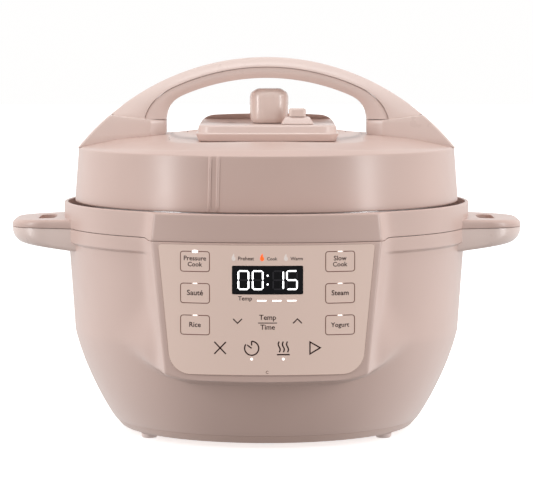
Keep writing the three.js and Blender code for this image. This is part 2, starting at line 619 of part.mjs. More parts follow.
function handleGrip() {
  const lowZ = HANDLE.jointZ + GAP;
  const open = arcPoints(HANDLE.openRadius, HANDLE.openCentreZ, -70, 70, 10);
  const side = new THREE.Vector2(HANDLE.openHalf, lowZ);
  const corner = new THREE.QuadraticBezierCurve(open.at(-1), new THREE.Vector2(84, 278), side).getPoints(4).slice(1);
  const seam = seamLine(0);
  seam.forEach((p) => { p.y = Math.max(p.y, lowZ); });
  const inner = [...mirrored(corner), ...open, ...corner].reverse();
  return sweepAlongY(new THREE.Shape([...seam, ...inner]), HANDLE.gripDepth);
}

function handleStub() {
  const topX = outerArcX(HANDLE.jointZ);
  const shape = new THREE.Shape([
    new THREE.Vector2(HANDLE.openHalf, 235), new THREE.Vector2(158, 235),
    ...arcPoints(HANDLE.outerRadius, HANDLE.outerCentreZ, 158, topX, 6), new THREE.Vector2(HANDLE.openHalf, HANDLE.jointZ),
  ]);
  const lidForm = lathe([[0, 200], [170, 200], [170, LID.shoulderZ + GAP], ...lidTop(GAP)]);
  const screwHoles = HANDLE_SCREWS.filter(([x]) => x > 0).map(([x, y]) => post(x, y, 2.2, 235, 262));
  return carve(sweepAlongY(shape, HANDLE.stubDepth), { cut: [lidForm, ...screwHoles] });
}

// ---------------------------------------------------------------- steam island and valves
function islandForm(inset, lowZ, topZ) {
  const { centreX, centreY, halfX, halfY, corner, ridgeZ } = ISLAND;
  const layer = (dx, z) => roundedRing(centreX, centreY, halfX - dx - inset, halfY - dx - inset, corner - inset, z);
  return skin([layer(3, lowZ), layer(0, ridgeZ), layer(7, topZ - 0.8), layer(9, topZ)], false);
}

function steamIsland() {
  const { lowZ, topZ, wallTopZ } = ISLAND;
  const guard = box([-49, 27, topZ - 1], [54, 30.5, wallTopZ]);
  const holes = [post(VALVE.x, 0, 5.2, 245, 263), post(FLOAT.x, FLOAT.y, 4.6, 245, 263)];
  return carve(islandForm(0, lowZ, topZ), { add: [guard], cut: [islandForm(3, lowZ - 1, topZ - 2.5), ...holes] });
}

function steamValve() {
  const { x, halfWidth, lowZ, topZ, bore } = VALVE;
  const layers = [[lowZ, 2], [lowZ + 2, 0.2], [lowZ + 23, 0], [topZ - 3, 1.6], [topZ, 6.2]];
  const column = skin(layers.map(([z, inset]) => (
    roundedRing(x, 0, halfWidth - inset, halfWidth - inset, 6, z))), false);
  return carve(column, { cut: [post(x, 0, bore, lowZ - 1, lowZ + 15)] });
}

const steamPipe = () => lathe([
  [1.6, 198.5], [3.6, 198.5], [3.6, 205.8], [8, 205.8], [8, 208], [3.6, 208], [3.6, 272], [1.6, 272],
], { segments: SMALL_SEGMENTS, loop: true });

const steamPipeNut = () => lathe([[4.1, 199], [8, 199], [8, 203.6], [4.1, 203.6]], { segments: 12, loop: true });

function antiBlockShield() {
  const cap = lathe([[0, 189], [14, 189], [15, 190.5], [15, 203.6], [13.8, 203.6], [13.8, 191.5], [12.8, 190.4], [0, 190.4]],
    { segments: 20 });
  const slots = [0, 60, 120].map((degrees) => (
    box([-20, -1.5, 192.5], [20, 1.5, 198]).rotateZ(THREE.MathUtils.degToRad(degrees))));
  return carve(cap, { cut: slots });
}

const floatPin = () => lathe([[0, 190.5], [2, 190.5], [2, 206], [FLOAT.radius, 206], [FLOAT.radius, 257.5], [0, 257.5]],
  { segments: SMALL_SEGMENTS });

const floatCap = () => lathe([[2.3, 192.5], [5.5, 192.5], [6, 197.5], [2.3, 197.5]],
  { segments: SMALL_SEGMENTS, loop: true });

function switchBase() {
  const { lowX, highX, lowZ } = SWITCH;
  const layer = (spread, z) => roundedRing((lowX + highX) / 2, -25.5, (highX - lowX) / 2 + spread, 8.5, 2, z);
  return skin([layer(5.5, ISLAND.topZ + GAP), layer(5.5, ISLAND.topZ + 0.8), layer(2.1, lowZ - GAP)], false);
}

function releaseSwitch() {
  const { lowX, highX, backY, frontY, lowZ, topZ } = SWITCH;
  const layer = (inset, z) => roundedRing((lowX + highX) / 2, (backY + frontY) / 2,
    (highX - lowX) / 2 - inset, (backY - frontY) / 2 - inset, 2, z);
  return skin([layer(0, lowZ), layer(0, topZ - 1.6), layer(1.6, topZ)], false);
}

// ---------------------------------------------------------------- wiring
const mainsLead = () => tube([
  [0, 143, 56.5], [0, 140.5, 47], [0, 133, 33], [0, 119, 20], [0, 96, 15], [0, 40, 14.5], [0, -26, 14.5],
], 2, 18);

const wireHarness = () => tube([
  [-20, -76, 16], [-20, -108, 17], [-20, -126, 25], [-20, -136.8, 42], [-20, -140.5, 56], [-20, -148, 74], [-20, -153.6, 88],
], 1.8, 18);

// ---------------------------------------------------------------- assembly
const cooker = new THREE.Group();

function piece(parent, name, geometry, material, place = [0, 0, 0], turn = 0) {
  const mesh = new THREE.Mesh(closed(geometry), material);
  mesh.name = name;
  mesh.position.set(...place);
  mesh.rotation.z = turn;
  parent.add(mesh);
}

function group(parent) {
  const child = new THREE.Group();
  parent.add(child);
  return child;
}

const base = group(cooker);
piece(base, 'housing', housing(), FINISH.blush);
piece(base, 'collar', collar(), FINISH.blush);
piece(base, 'handle_lower_right', sideHandleLower(), FINISH.blush);
piece(base, 'handle_lower_left', sideHandleLower(), FINISH.blush, [0, 0, 0], Math.PI);
piece(base, 'bottom_cover', bottomCover(), FINISH.blushDark);
[[1, 1], [-1, 1], [-1, -1], [1, -1]].forEach(([sx, sy], i) => (
  piece(base, `foot_${i + 1}`, foot(), FINISH.rubber, [sx * FOOT.x, sy * FOOT.y, 0])));
studPlaces().forEach(([x, y], i) => (
  piece(base, `bottom_screw_${i + 1}`, screw(4, 1.9, 12), FINISH.steel, [x, y, BASE.bottomZ - GAP])));
piece(base, 'outer_pot', outerPot(), FINISH.aluminium);
piece(base, 'heating_plate', heatingPlate(), FINISH.aluminium);
piece(base, 'heating_coil', heatingCoil(), FINISH.steel);
piece(base, 'sensor_bracket', sensorBracket(), FINISH.steel);
piece(base, 'sensor_spring', sensorSpring(), FINISH.steel);
piece(base, 'temperature_sensor', temperatureSensor(), FINISH.aluminium);
piece(base, 'thermal_fuse', box([42, -4, 28.5], [58, 4, 33.5]), FINISH.silicone);
piece(base, 'pressure_switch', box([34, 34, 14], [54, 50, 25.5]), FINISH.dark);
piece(base, 'power_board', powerBoard(), FINISH.green);
piece(base, 'control_board', controlBoard(), FINISH.green);
piece(base, 'display_module', displayModule(), FINISH.dark);
piece(base, 'display_window', displayWindow(), FINISH.black);
piece(base, 'control_film', controlFilm(), FINISH.film);
piece(base, 'mains_lead', mainsLead(), FINISH.cable);
piece(base, 'wire_harness', wireHarness(), FINISH.cable);
piece(base, 'inlet_socket', inletSocket(), FINISH.dark);
INLET_PINS.forEach((x, i) => piece(base, `inlet_pin_${i + 1}`, pinBox(x, 0), FINISH.brass));
piece(base, 'cup_bracket', cupBracket(), FINISH.blushDark);
piece(base, 'condensation_cup', condensationCup(), FINISH.blush);

const pot = group(cooker);
piece(pot, 'inner_pot', innerPot(), FINISH.steel);
piece(pot, 'sealing_ring', sealingRing(), FINISH.silicone);
piece(pot, 'ring_rack', ringRack(), FINISH.steel);

const lid = group(cooker);
piece(lid, 'lid_cover', lidCover(), FINISH.blush);
piece(lid, 'lid_liner', lidLiner(), FINISH.steel);
piece(lid, 'handle_top_shell', handleTopShell(), FINISH.blush);
piece(lid, 'handle_grip', handleGrip(), FINISH.blushDark);
piece(lid, 'handle_stub_right', handleStub(), FINISH.blush);
piece(lid, 'handle_stub_left', handleStub(), FINISH.blush, [0, 0, 0], Math.PI);
HANDLE_SCREWS.forEach(([x, y], i) => (
  piece(lid, `handle_screw_${i + 1}`, screw(3.8, 1.8, 14), FINISH.steel, [x, y, 246])));
BOSS_PLACES.forEach(([x, y], i) => (
  piece(lid, `lid_screw_${i + 1}`, screw(4, 1.8, 12), FINISH.steel, [x, y, LINER.plateZ - GAP])));
piece(lid, 'steam_island', steamIsland(), FINISH.blush);
piece(lid, 'steam_pipe', steamPipe(), FINISH.steel, [VALVE.x, 0, 0]);
piece(lid, 'steam_pipe_nut', steamPipeNut(), FINISH.steel, [VALVE.x, 0, 0]);
piece(lid, 'anti_block_shield', antiBlockShield(), FINISH.steel, [VALVE.x, 0, 0]);
piece(lid, 'steam_valve', steamValve(), FINISH.blush);
piece(lid, 'switch_base', switchBase(), FINISH.blush);
piece(lid, 'release_switch', releaseSwitch(), FINISH.blush);
piece(lid, 'float_pin', floatPin(), FINISH.steel, [FLOAT.x, FLOAT.y, 0]);
piece(lid, 'float_cap', floatCap(), FINISH.silicone, [FLOAT.x, FLOAT.y, 0]);

export default cooker;
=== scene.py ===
"""Electric pressure cooker: the visual model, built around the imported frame.

Lengths inside the builders are millimetres in the frame of the part: +Z up, -Y the front, origin on the
floor below the pot's axis. A builder returns a shape, (points, faces), and add_piece makes an object of it.
"""
import json
from math import asin, atan2, ceil, copysign, cos, hypot, pi, radians, sin, sqrt
from types import SimpleNamespace as Sizes

import bmesh
import bpy
from mathutils import Matrix, Vector


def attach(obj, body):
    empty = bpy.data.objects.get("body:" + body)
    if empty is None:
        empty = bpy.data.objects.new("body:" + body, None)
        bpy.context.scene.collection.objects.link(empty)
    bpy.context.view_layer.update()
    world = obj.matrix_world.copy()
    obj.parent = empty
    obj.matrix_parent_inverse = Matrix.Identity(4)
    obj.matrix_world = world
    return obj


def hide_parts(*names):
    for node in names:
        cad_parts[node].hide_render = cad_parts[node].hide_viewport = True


MM = 0.001
SHARP = radians(34)     # edges that turn by more than this stay sharp

# ---- driving dimensions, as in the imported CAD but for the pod's underside
COLLAR = Sizes(seam=174.5, top=195.4, inner=169, floor=176.8, neck=136.5)
POD = Sizes(reach=176, face_radius=240, flank=radians(70), lip=62, lip_climb=45, lip_flat=0.75,
            under_slope=4, corner_slope=4)
CREASE = [(82, 72), (92.5, 174.5), (90.2, 195.4)]     # half width and height of the pod's side crease
BODY_PROFILE = [
    (129.7, 11.3), (132.2, 14.5), (141.8, 30.5), (151.8, 51.5), (158.8, 69.8), (163.3, 86),
    (165.1, 115), (167.7, 152.4), (168.2, 160.9), (171.8, 163.2), (172, 174.5), (172, 195.4),
]
WALL = 3
SEAM_SIDE, SEAM_FRONT, SEAM_HALF_GAP = 174.6, 173.0, 0.18
SIDE_HANDLE = Sizes(tip=215.5, root=170.5, half_width=54, root_top=182, tip_top=180.7, root_low=156,
                    tip_low=161.5, slot_x=186.5, slot_half_x=7, slot_half_y=23)
LID = Sizes(skirt_low=195.6, skirt_radius=162.8, shoulder_radius=159.5, shoulder=240.9, deck=252,
            deck_radius=88, chamfer=150)
WELL = Sizes(half_x=80, half_y=108, corner=25, floor=247)
HANDLE = Sizes(outer_radius=204.8, outer_centre=112.2, seam_radius=189, seam_centre=119.9, open_radius=178,
               open_centre=121.7, open_half=85, seam_half=103, joint=264.5, grip_half=20, stub_half=24)
ISLAND = Sizes(x=0.65, y=-1, half_x=60.1, half_y=49, corner=16, low=247.3, ridge=253.6, top=260.9,
               wall_top=268.3)
VALVE = Sizes(x=2.2, half=16.4, low=261.2, top=290.6, bore=5)
SWITCH = Sizes(low_x=18.9, high_x=33.2, back=-22, front=-32, low=267.6, top=274.5)
FLOAT = Sizes(x=-30, y=8, radius=3.8)
FILM = Sizes(top=171.5, low=67.3, half_top=87, half_low=77, low_corner=16, top_corner=3, front=0.95)
DISPLAY = Sizes(low_x=-27.2, high_x=28.9, low=132.3, high=154.8)
CUP = Sizes(half_x=30, low=118, top=166, front=157, back=177, corner_y=172, wall=2)
INLET = Sizes(half_x=17, low=59, top=83, front=137.5, back=164, mouth_half_x=12, mouth_low=64,
              mouth_top=78, mouth_front=146)
FOOT = Sizes(x=98, y=60, radius=7, height=4.2)
BAYONET = Sizes(count=6, pitch=60, tooth=26, lug=22)

# ---- the frame
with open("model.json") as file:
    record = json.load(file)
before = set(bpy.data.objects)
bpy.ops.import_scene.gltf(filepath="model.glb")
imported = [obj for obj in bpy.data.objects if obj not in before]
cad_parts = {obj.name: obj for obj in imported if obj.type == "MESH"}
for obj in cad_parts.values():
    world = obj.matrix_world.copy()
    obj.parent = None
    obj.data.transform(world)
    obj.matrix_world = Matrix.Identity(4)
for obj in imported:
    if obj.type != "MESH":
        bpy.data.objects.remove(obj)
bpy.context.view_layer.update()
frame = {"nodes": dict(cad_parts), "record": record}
scene = bpy.context.scene
scene.view_settings.view_transform = "Standard"


# ---- shape helpers
def lerp(a, b, t):
    return a + (b - a) * t


def smoothstep(low, high, value):
    t = min(max((value - low) / (high - low), 0), 1)
    return t * t * (3 - 2 * t)


def span(low, high):
    """The middle and half the length between two places."""
    return (low + high) / 2, (high - low) / 2


def fillet(path, reach, steps=5, closed=False):
    """Rounds the corners of a 2D path. Reach, one number or one per point, is where the rounding starts."""
    result = []
    for i, corner in enumerate(path):
        wanted = reach[i] if isinstance(reach, (list, tuple)) else reach
        if not wanted or (not closed and i in (0, len(path) - 1)):
            result.append(tuple(corner))
            continue
        here = Vector(corner)
        before = Vector(path[i - 1]) - here
        after = Vector(path[(i + 1) % len(path)]) - here
        used = min(wanted, 0.48 * before.length, 0.48 * after.length)
        start = here + before.normalized() * used
        end = here + after.normalized() * used
        for k in range(steps + 1):
            t = k / steps
            result.append(tuple(start * (1 - t) ** 2 + here * 2 * t * (1 - t) + end * t * t))
    return result


def bezier(start, control, end, steps):
    a, b, c = Vector(start), Vector(control), Vector(end)
    return [a * (1 - t) ** 2 + b * 2 * t * (1 - t) + c * t * t for t in (k / steps for k in range(steps + 1))]


def skin(rows, looped=False):
    """A closed shape through rings of points: the last joins the first if looped, or else both are capped."""
    count = len(rows[0])
    points = [tuple(point) for row in rows for point in row]
    faces = []
    for i in range(len(rows) if looped else len(rows) - 1):
        low = i * count
        high = (i + 1) % len(rows) * count
        for j in range(count):
            k = (j + 1) % count
            faces.append((low + j, low + k, high + k, high + j))
    if not looped:
        faces.append(tuple(range(count))[::-1])
        faces.append(tuple(range(len(points) - count, len(points))))
    return points, faces


def circle(radius, z, segments, x=0, y=0):
    turn = 2 * pi / segments
    return [(x + radius * sin(i * turn), y - radius * cos(i * turn), z) for i in range(segments)]


def revolve(profile, segments=128, closed=False, x=0, y=0):
    """A solid of revolution about an upright axis, from (radius, z) pairs."""
    return skin([circle(radius, z, segments, x, y) for radius, z in profile], looped=closed)


def turning(path, reach, steps, segments, closed=False, x=0, y=0):
    """A solid of revolution whose section is a path with rounded corners."""
    return revolve(fillet(path, reach, steps, closed), segments, closed, x, y)


def ring_places(radius, degrees):
    return [(radius * cos(radians(angle)), radius * sin(radians(angle))) for angle in degrees]


def rounded_ring(x, y, half_x, half_y, corner, z, steps=8):
    """A rounded rectangle at one height."""
    ring = []
    for turn, (sx, sy) in enumerate([(1, 1), (-1, 1), (-1, -1), (1, -1)]):
        for i in range(steps + 1):
            angle = (turn + i / steps) * pi / 2
            ring.append((x + sx * (half_x - corner) + corner * cos(angle),
                         y + sy * (half_y - corner) + corner * sin(angle), z))
    return ring


def rounded_block(x, y, half_x, half_y, corner, layers, steps=8):
    """A block whose rounded-rectangle outline shrinks by each layer's inset, from (inset, z) pairs."""
    return skin([rounded_ring(x, y, half_x - inset, half_y - inset, max(corner - inset, 0.3), z, steps)
                 for inset, z in layers])


def upright_block(half_x, low, high, grow, corner, layers, x=0):
    """A block with a rounded outline in XZ, grown past its limits on every side, from (inset, y) pairs."""
    z, half_z = span(low - grow, high + grow)
    half_x += grow
    return skin([[(px, y, pz) for px, pz, _ in
                  rounded_ring(x, z, half_x - inset, half_z - inset, max(corner - inset, 0.3), 0, 6)]
                 for inset, y in layers])


def box(low, high):
    corners = [(low[0], low[1]), (high[0], low[1]), (high[0], high[1]), (low[0], high[1])]
    return skin([[(x, y, z) for x, y in corners] for z in (low[2], high[2])])


def post(x, y, radius, low, high, segments=32):
    return revolve([(0, low), (radius, low), (radius, high), (0, high)], segments, x=x, y=y)


def moved(shape, matrix):
    points, faces = shape
    return [tuple(matrix @ Vector(point)) for point in points], faces


def turned(shape, degrees):
    return moved(shape, Matrix.Rotation(radians(degrees), 4, "Z"))


def offset_path(path, shift_at):
    """Moves each point of an open 2D path to its left by a shift that depends on its x."""
    result = []
    for i, point in enumerate(path):
        along = path[min(i + 1, len(path) - 1)] - path[max(i - 1, 0)]
        result.append(point + Vector((-along.y, along.x)).normalized() * shift_at(point.x))
    return result


def joined(*shapes):
    """Several separate shapes as one."""
    points, faces = [], []
    for more_points, more_faces in shapes:
        start = len(points)
        points.extend(more_points)
        faces.extend(tuple(start + i for i in face) for face in more_faces)
    return points, faces


def mesh_of(shape, scale=MM):
    """A Blender mesh with shared points merged and its faces turned outwards."""
    points, faces = shape
    mesh = bpy.data.meshes.new("shape")
    mesh.from_pydata([Vector(point) * scale for point in points], [], faces)
    bm = bmesh.new()
    bm.from_mesh(mesh)
    bmesh.ops.remove_doubles(bm, verts=bm.verts, dist=2e-6)
    bmesh.ops.recalc_face_normals(bm, faces=bm.faces)
    bm.to_mesh(mesh)
    bm.free()
    return mesh


def carve(shape, cut=(), add=()):
    """Joins the added shapes to a shape and cuts the others from it."""
    made = bpy.data.objects.new("carved", mesh_of(shape))
    scene.collection.objects.link(made)
    tools = []
    for operation, parts in (("UNION", add), ("DIFFERENCE", cut)):
        for part in parts:
            tool = bpy.data.objects.new("tool", mesh_of(part))
            scene.collection.objects.link(tool)
            tools.append(tool)
            modifier = made.modifiers.new("carve", "BOOLEAN")
            modifier.operation = operation
            modifier.solver = "EXACT"
            modifier.object = tool
    bpy.context.view_layer.update()
    result = made.evaluated_get(bpy.context.evaluated_depsgraph_get()).to_mesh()
    points = [tuple(vertex.co / MM) for vertex in result.vertices]
    faces = [tuple(polygon.vertices) for polygon in result.polygons]
    for used in (made, *tools):
        bpy.data.objects.remove(used)
    return points, faces


def add_piece(name, body, finish, shape, replaces=()):
    """Adds a finished piece that rides on a body, and hides the nodes it stands for."""
    mesh = mesh_of(shape)
    mesh.name = name
    for polygon in mesh.polygons:
        polygon.use_smooth = True
    mesh.set_sharp_from_angle(angle=SHARP)
    mesh.materials.append(FINISH[finish])
    piece = bpy.data.objects.new(name, mesh)
    scene.collection.objects.link(piece)
    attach(piece, body)
    if replaces:
        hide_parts(*replaces)


# ---- materials
FINISH = {}     # every material by its finish's name


class Nodes:
    """A node tree of a material or a world."""

    def __init__(self, owner):
        owner.use_nodes = True
        self.tree = owner.node_tree

    def node(self, kind, inputs, output=0, **settings):
        """Adds a node, sets or links its inputs by name or number, and gives one of its outputs."""
        made = self.tree.nodes.new(kind)
        for key, value in settings.items():
            setattr(made, key, value)
        for key, value in inputs.items():
            if isinstance(value, bpy.types.NodeSocket):
                self.tree.links.new(value, made.inputs[key])
            else:
                made.inputs[key].default_value = value
        return made.outputs[output]

    def maths(self, operation, *values):
        return self.node("ShaderNodeMath", dict(enumerate(values)), operation=operation)

    def parts(self, vector):
        """The x, y and z of a vector."""
        return self.node("ShaderNodeSeparateXYZ", {"Vector": vector}).node.outputs


class Finish(Nodes):
    """A new material, with short calls for the nodes that the finishes share."""

    def __init__(self, name):
        FINISH[name] = bpy.data.materials.new(name)
        super().__init__(FINISH[name])
        self.shader = self.tree.nodes["Principled BSDF"]
        self.place = self.node("ShaderNodeTexCoord", {}, "Object")

    def set(self, **values):
        for key, value in values.items():
            self.shader.inputs[key.replace("_", " ")].default_value = value

    def drive(self, socket, value):
        """Links a value to one of the shader's own sockets."""
        self.tree.links.new(value, self.shader.inputs[socket])

    def noise(self, scale, detail=3, place=None):
        inputs = {"Vector": place or self.place, "Scale": scale, "Detail": detail}
        return self.node("ShaderNodeTexNoise", inputs, "Fac")

    def ramp(self, value, low, high):
        """Maps the middle of a noise to a range of numbers."""
        inputs = {"Value": value, "From Min": 0.3, "From Max": 0.7, "To Min": low, "To Max": high}
        return self.node("ShaderNodeMapRange", inputs, "Result")

    def tint(self, value, colour, dark, bright):
        """Varies the base colour between two shades of it, and gives the result."""
        inputs = {"Factor": value, "A": shade(colour, dark), "B": shade(colour, bright)}
        result = self.node("ShaderNodeMix", inputs, "Result", data_type="RGBA")
        self.drive("Base Color", result)
        return result

    def bump(self, height, strength, distance, after=None):
        inputs = {"Height": height, "Strength": strength, "Distance": distance}
        if after:
            inputs["Normal"] = after
        return self.node("ShaderNodeBump", inputs, "Normal")

    def ring_place(self, around, across):
        """Coordinates that run round the Z axis, for brushing and turning marks."""
        x, y, z = self.parts(self.place)
        flat = self.node("ShaderNodeVectorMath", {0: self.place, 1: (1, 1, 0)}, operation="MULTIPLY")
        radius = self.node("ShaderNodeVectorMath", {0: flat}, "Value", operation="LENGTH")
        rolled = self.node("ShaderNodeCombineXYZ", {"X": radius, "Y": self.maths("ARCTAN2", y, x), "Z": z})
        scale = (across, around, across)
        return self.node("ShaderNodeVectorMath", {0: rolled, 1: scale}, operation="MULTIPLY")


def rgb(red, green, blue):
    """A linear colour from 0 to 255 display values."""
    def linear(value):
        share = value / 255
        return share / 12.92 if share <= 0.04045 else ((share + 0.055) / 1.055) ** 2.4
    return (linear(red), linear(green), linear(blue), 1)


def shade(colour, factor):
    return tuple(channel * factor for channel in colour[:3]) + (1,)


def moulded(name, colour, roughness, grain=0.05, coat=0.0):
    """Moulded plastic: a faint cloudy colour, a fine spark-eroded grain and slightly uneven gloss."""
    nodes = Finish(name)
    nodes.tint(nodes.ramp(nodes.noise(14, 2), 0, 1), colour, 0.975, 1.02)
    nodes.drive("Roughness", nodes.ramp(nodes.noise(60), roughness - 0.03, roughness + 0.03))
    fine = nodes.bump(nodes.noise(2600, 2), grain, 0.00003)
    nodes.drive("Normal", nodes.bump(nodes.noise(35, 1), 0.03, 0.0004, fine))
    nodes.set(Specular_IOR_Level=0.45, Coat_Weight=coat, Coat_Roughness=0.25)


def printed_film(name, colour):
    """Printed polycarbonate film: very fine grain and an even satin gloss."""
    nodes = Finish(name)
    nodes.tint(nodes.ramp(nodes.noise(9, 1), 0, 1), colour, 0.985, 1.01)
    nodes.drive("Roughness", nodes.ramp(nodes.noise(900, 2), 0.36, 0.42))
    nodes.drive("Normal", nodes.bump(nodes.noise(4200, 1), 0.04, 0.00002))
    nodes.set(Specular_IOR_Level=0.4)


def glass_black(name, colour, roughness):
    nodes = Finish(name)
    nodes.tint(nodes.noise(30, 1), colour, 1, 1.4)
    nodes.drive("Roughness", nodes.ramp(nodes.noise(300, 2), roughness, roughness + 0.04))
    nodes.set(Specular_IOR_Level=0.4)


def ink(name, colour, roughness=0.5):
    nodes = Finish(name)
    nodes.tint(nodes.noise(2500, 2), colour, 0.92, 1.08)
    nodes.set(Roughness=roughness, Specular_IOR_Level=0.3)


def light(name, colour, strength):
    """A lit indicator: it glows evenly, a little less at its grain."""
    nodes = Finish(name)
    nodes.drive("Emission Color", nodes.tint(nodes.noise(1500, 1), colour, 0.93, 1))
    nodes.set(Emission_Strength=strength, Roughness=0.5)


def brushed(name, colour, roughness, around=1.5, across=1400, depth=0.00002):
    """Sheet metal brushed or turned round its axis."""
    nodes = Finish(name)
    lines = nodes.noise(1, 4, nodes.ring_place(around, across))
    nodes.tint(nodes.ramp(lines, 0, 1), colour, 0.9, 1.04)
    nodes.drive("Roughness", nodes.ramp(lines, roughness - 0.05, roughness + 0.08))
    nodes.drive("Normal", nodes.bump(lines, 0.25, depth))
    nodes.set(Metallic=1.0)


def soft_rubber(name, colour, roughness):
    nodes = Finish(name)
    nodes.tint(nodes.ramp(nodes.noise(40), 0, 1), colour, 0.95, 1.03)
    nodes.drive("Roughness", nodes.ramp(nodes.noise(200), roughness - 0.06, roughness + 0.06))
    nodes.drive("Normal", nodes.bump(nodes.noise(1800, 2), 0.12, 0.00004))
    nodes.set(Specular_IOR_Level=0.3, Sheen_Weight=0.15)


def circuit(name):
    """Green solder mask with straight copper tracks showing through."""
    nodes = Finish(name)
    inputs = {"Vector": nodes.place, "Scale": 160, "Mortar Size": 0.06, "Color1": rgb(40, 104, 66),
              "Color2": rgb(46, 112, 70), "Mortar": rgb(92, 140, 84)}
    tracks = nodes.node("ShaderNodeTexBrick", inputs, "Color")
    nodes.drive("Base Color", tracks)
    nodes.drive("Normal", nodes.bump(tracks.node.outputs["Fac"], 0.3, 0.0001))
    nodes.set(Roughness=0.35)


BLUSH = rgb(206, 178, 168)
moulded("blush_plastic", BLUSH, 0.34, coat=0.3)
moulded("blush_lower", rgb(203, 174, 163), 0.38, coat=0.1)
# A lighter copy of the blush, painted lit: it makes the carrying handle, its stubs, the side handles' lower
# halves, the steam island and the switch base brighter than the housing.
moulded("blush_painted_lit", rgb(223, 202, 194), 0.3, coat=0.25)
# A glossier blush for the valve and the release switch: its gloss is real, and its lighter colour is painted
# light.
moulded("glossy_blush_painted_lit", rgb(224, 203, 194), 0.2, grain=0.03, coat=0.5)
printed_film("panel_film", rgb(236, 209, 196))
# A dark ink for the line round the film's edge: painted shade that stands for the shadow in the groove at the
# film's edge.
ink("edge_ink_painted_shade", rgb(148, 116, 106))
glass_black("display_black", rgb(16, 15, 18), 0.12)
moulded("dark_plastic", rgb(44, 43, 46), 0.5)
circuit("circuit_board")
soft_rubber("foot_rubber", rgb(232, 212, 206), 0.7)
soft_rubber("silicone", rgb(236, 232, 228), 0.55)
brushed("stainless", rgb(205, 206, 208), 0.24)
brushed("steel_satin", rgb(214, 214, 214), 0.32, around=60, across=60, depth=0.00001)
brushed("aluminium", rgb(190, 192, 196), 0.38, around=3, across=700, depth=0.00004)
brushed("brass", rgb(206, 170, 92), 0.3, around=20, across=300)
soft_rubber("cable", rgb(56, 56, 60), 0.55)
ink("print_dark", rgb(46, 12, 10))
ink("print_line", rgb(110, 62, 50))
ink("print_grey", rgb(120, 120, 122), 0.4)
ink("segment_off", rgb(46, 44, 48), 0.3)
light("light_white", (1, 1, 1, 1), 2.2)
light("light_soft", (1, 0.93, 0.9, 1), 0.9)
light("light_orange", rgb(240, 92, 28), 0.9)
ink("flame_pale", rgb(250, 236, 230))


# ---- outer form of the housing
def smooth_min(a, b, blend):
    near = max(blend - abs(a - b), 0) / blend
    return min(a, b) - near * near * blend / 4


def smooth_max(a, b, blend):
    return -smooth_min(-a, -b, blend)


def profile_radius(z):
    for (low_radius, low), (high_radius, high) in zip(BODY_PROFILE, BODY_PROFILE[1:]):
        if z <= high:
            return lerp(low_radius, high_radius, max(z - low, 0) / (high - low))
    return BODY_PROFILE[-1][0]


def body_radius(z):
    """The round body's radius: the profile with soft bends, tighter at its knuckles and its ledge."""
    reach = min(max(0.6 * min(z - 11, abs(z - 86) + 1.5, 160 - z), 0.35), 9)
    return sum(profile_radius(z + reach * k / 4) for k in range(-4, 5)) / 9


def face_y(x):
    return POD.face_radius - POD.reach - sqrt(POD.face_radius ** 2 - x ** 2)


def crease_point(z):
    (low_x, low_z), (high_x, high_z) = CREASE[:2] if z < COLLAR.seam else CREASE[1:]
    x = lerp(low_x, high_x, (z - low_z) / (high_z - low_z))
    return x, face_y(x)


def crease_angle(z):
    x, y = crease_point(z)
    return atan2(x, -y)


def pod_radius(angle, z):
    """How far the pod reaches from the axis in a direction counted from the front."""
    setback = POD.face_radius - POD.reach
    centre = -setback * cos(angle)
    face = centre + sqrt(centre ** 2 - setback ** 2 + POD.face_radius ** 2)
    x, y = crease_point(z)
    offset = x * sin(POD.flank) - y * cos(POD.flank)
    flank = offset / cos(min(angle, POD.flank) - POD.flank)
    beyond = max(angle / atan2(x, -y) - POD.lip_flat, 0)
    corner = min(beyond / (1 - POD.lip_flat), 1)
    slope = lerp(POD.under_slope, POD.corner_slope, corner)
    under = POD.reach + 1 + 3 * corner + (z - POD.lip - POD.lip_climb * beyond ** 2) * slope
    return smooth_min(smooth_min(face, flank, 1.2), under, lerp(1.5, 12, corner))


def outer_radius(angle, z):
    blend = lerp(5, lerp(3, 26, smoothstep(0.42, 0.64, abs(angle))), smoothstep(130, 80, z))
    return smooth_max(body_radius(z), pod_radius(abs(angle), z), blend)


FACE_SHARES = [i / 20 for i in range(19)] + [0.93, 0.955, 0.975, 0.99, 1]
SIDE_SHARES = [0.0012, 0.003, 0.006, 0.011, 0.018, 0.026, 0.035, 0.045, 0.056, 0.068, 0.082] + [
    0.1 + 0.9 * i / 40 for i in range(41)
]


def ring_angles(z):
    """Directions of one ring's points, with the pod's crease always on a point."""
    crease = crease_angle(z)
    half = [share * crease for share in FACE_SHARES] + [lerp(crease, pi, share) for share in SIDE_SHARES]
    return half + [-angle for angle in reversed(half[1:-1])]


def polar_ring(z, radius_at, height_at=None):
    ring = []
    for angle in ring_angles(z):
        radius = radius_at(angle)
        height = height_at(angle) if height_at else z
        ring.append((radius * sin(angle), -radius * cos(angle), height))
    return ring


def outer_ring(z, inset=0, height_at=None):
    """A ring on the outer form, moved inwards by an inset."""
    return polar_ring(z, lambda angle: outer_radius(angle, z) - inset, height_at)


def seam_height(angle):
    """The parting line steps down a little across the pod."""
    crease = crease_angle(COLLAR.seam)
    return lerp(SEAM_FRONT, SEAM_SIDE, smoothstep(crease + 0.035, crease + 0.06, abs(angle)))


SEAM_EDGE = [(0.45, 0), (0.2, 0.06), (0.06, 0.2), (0, 0.45)]   # inset and distance from the parting edge


def display_cutter():
    middle_x, half_x = span(DISPLAY.low_x, DISPLAY.high_x)
    return upright_block(half_x, DISPLAY.low, DISPLAY.high, 0.25, 1.2, [(0, -185), (0, -165)], middle_x)


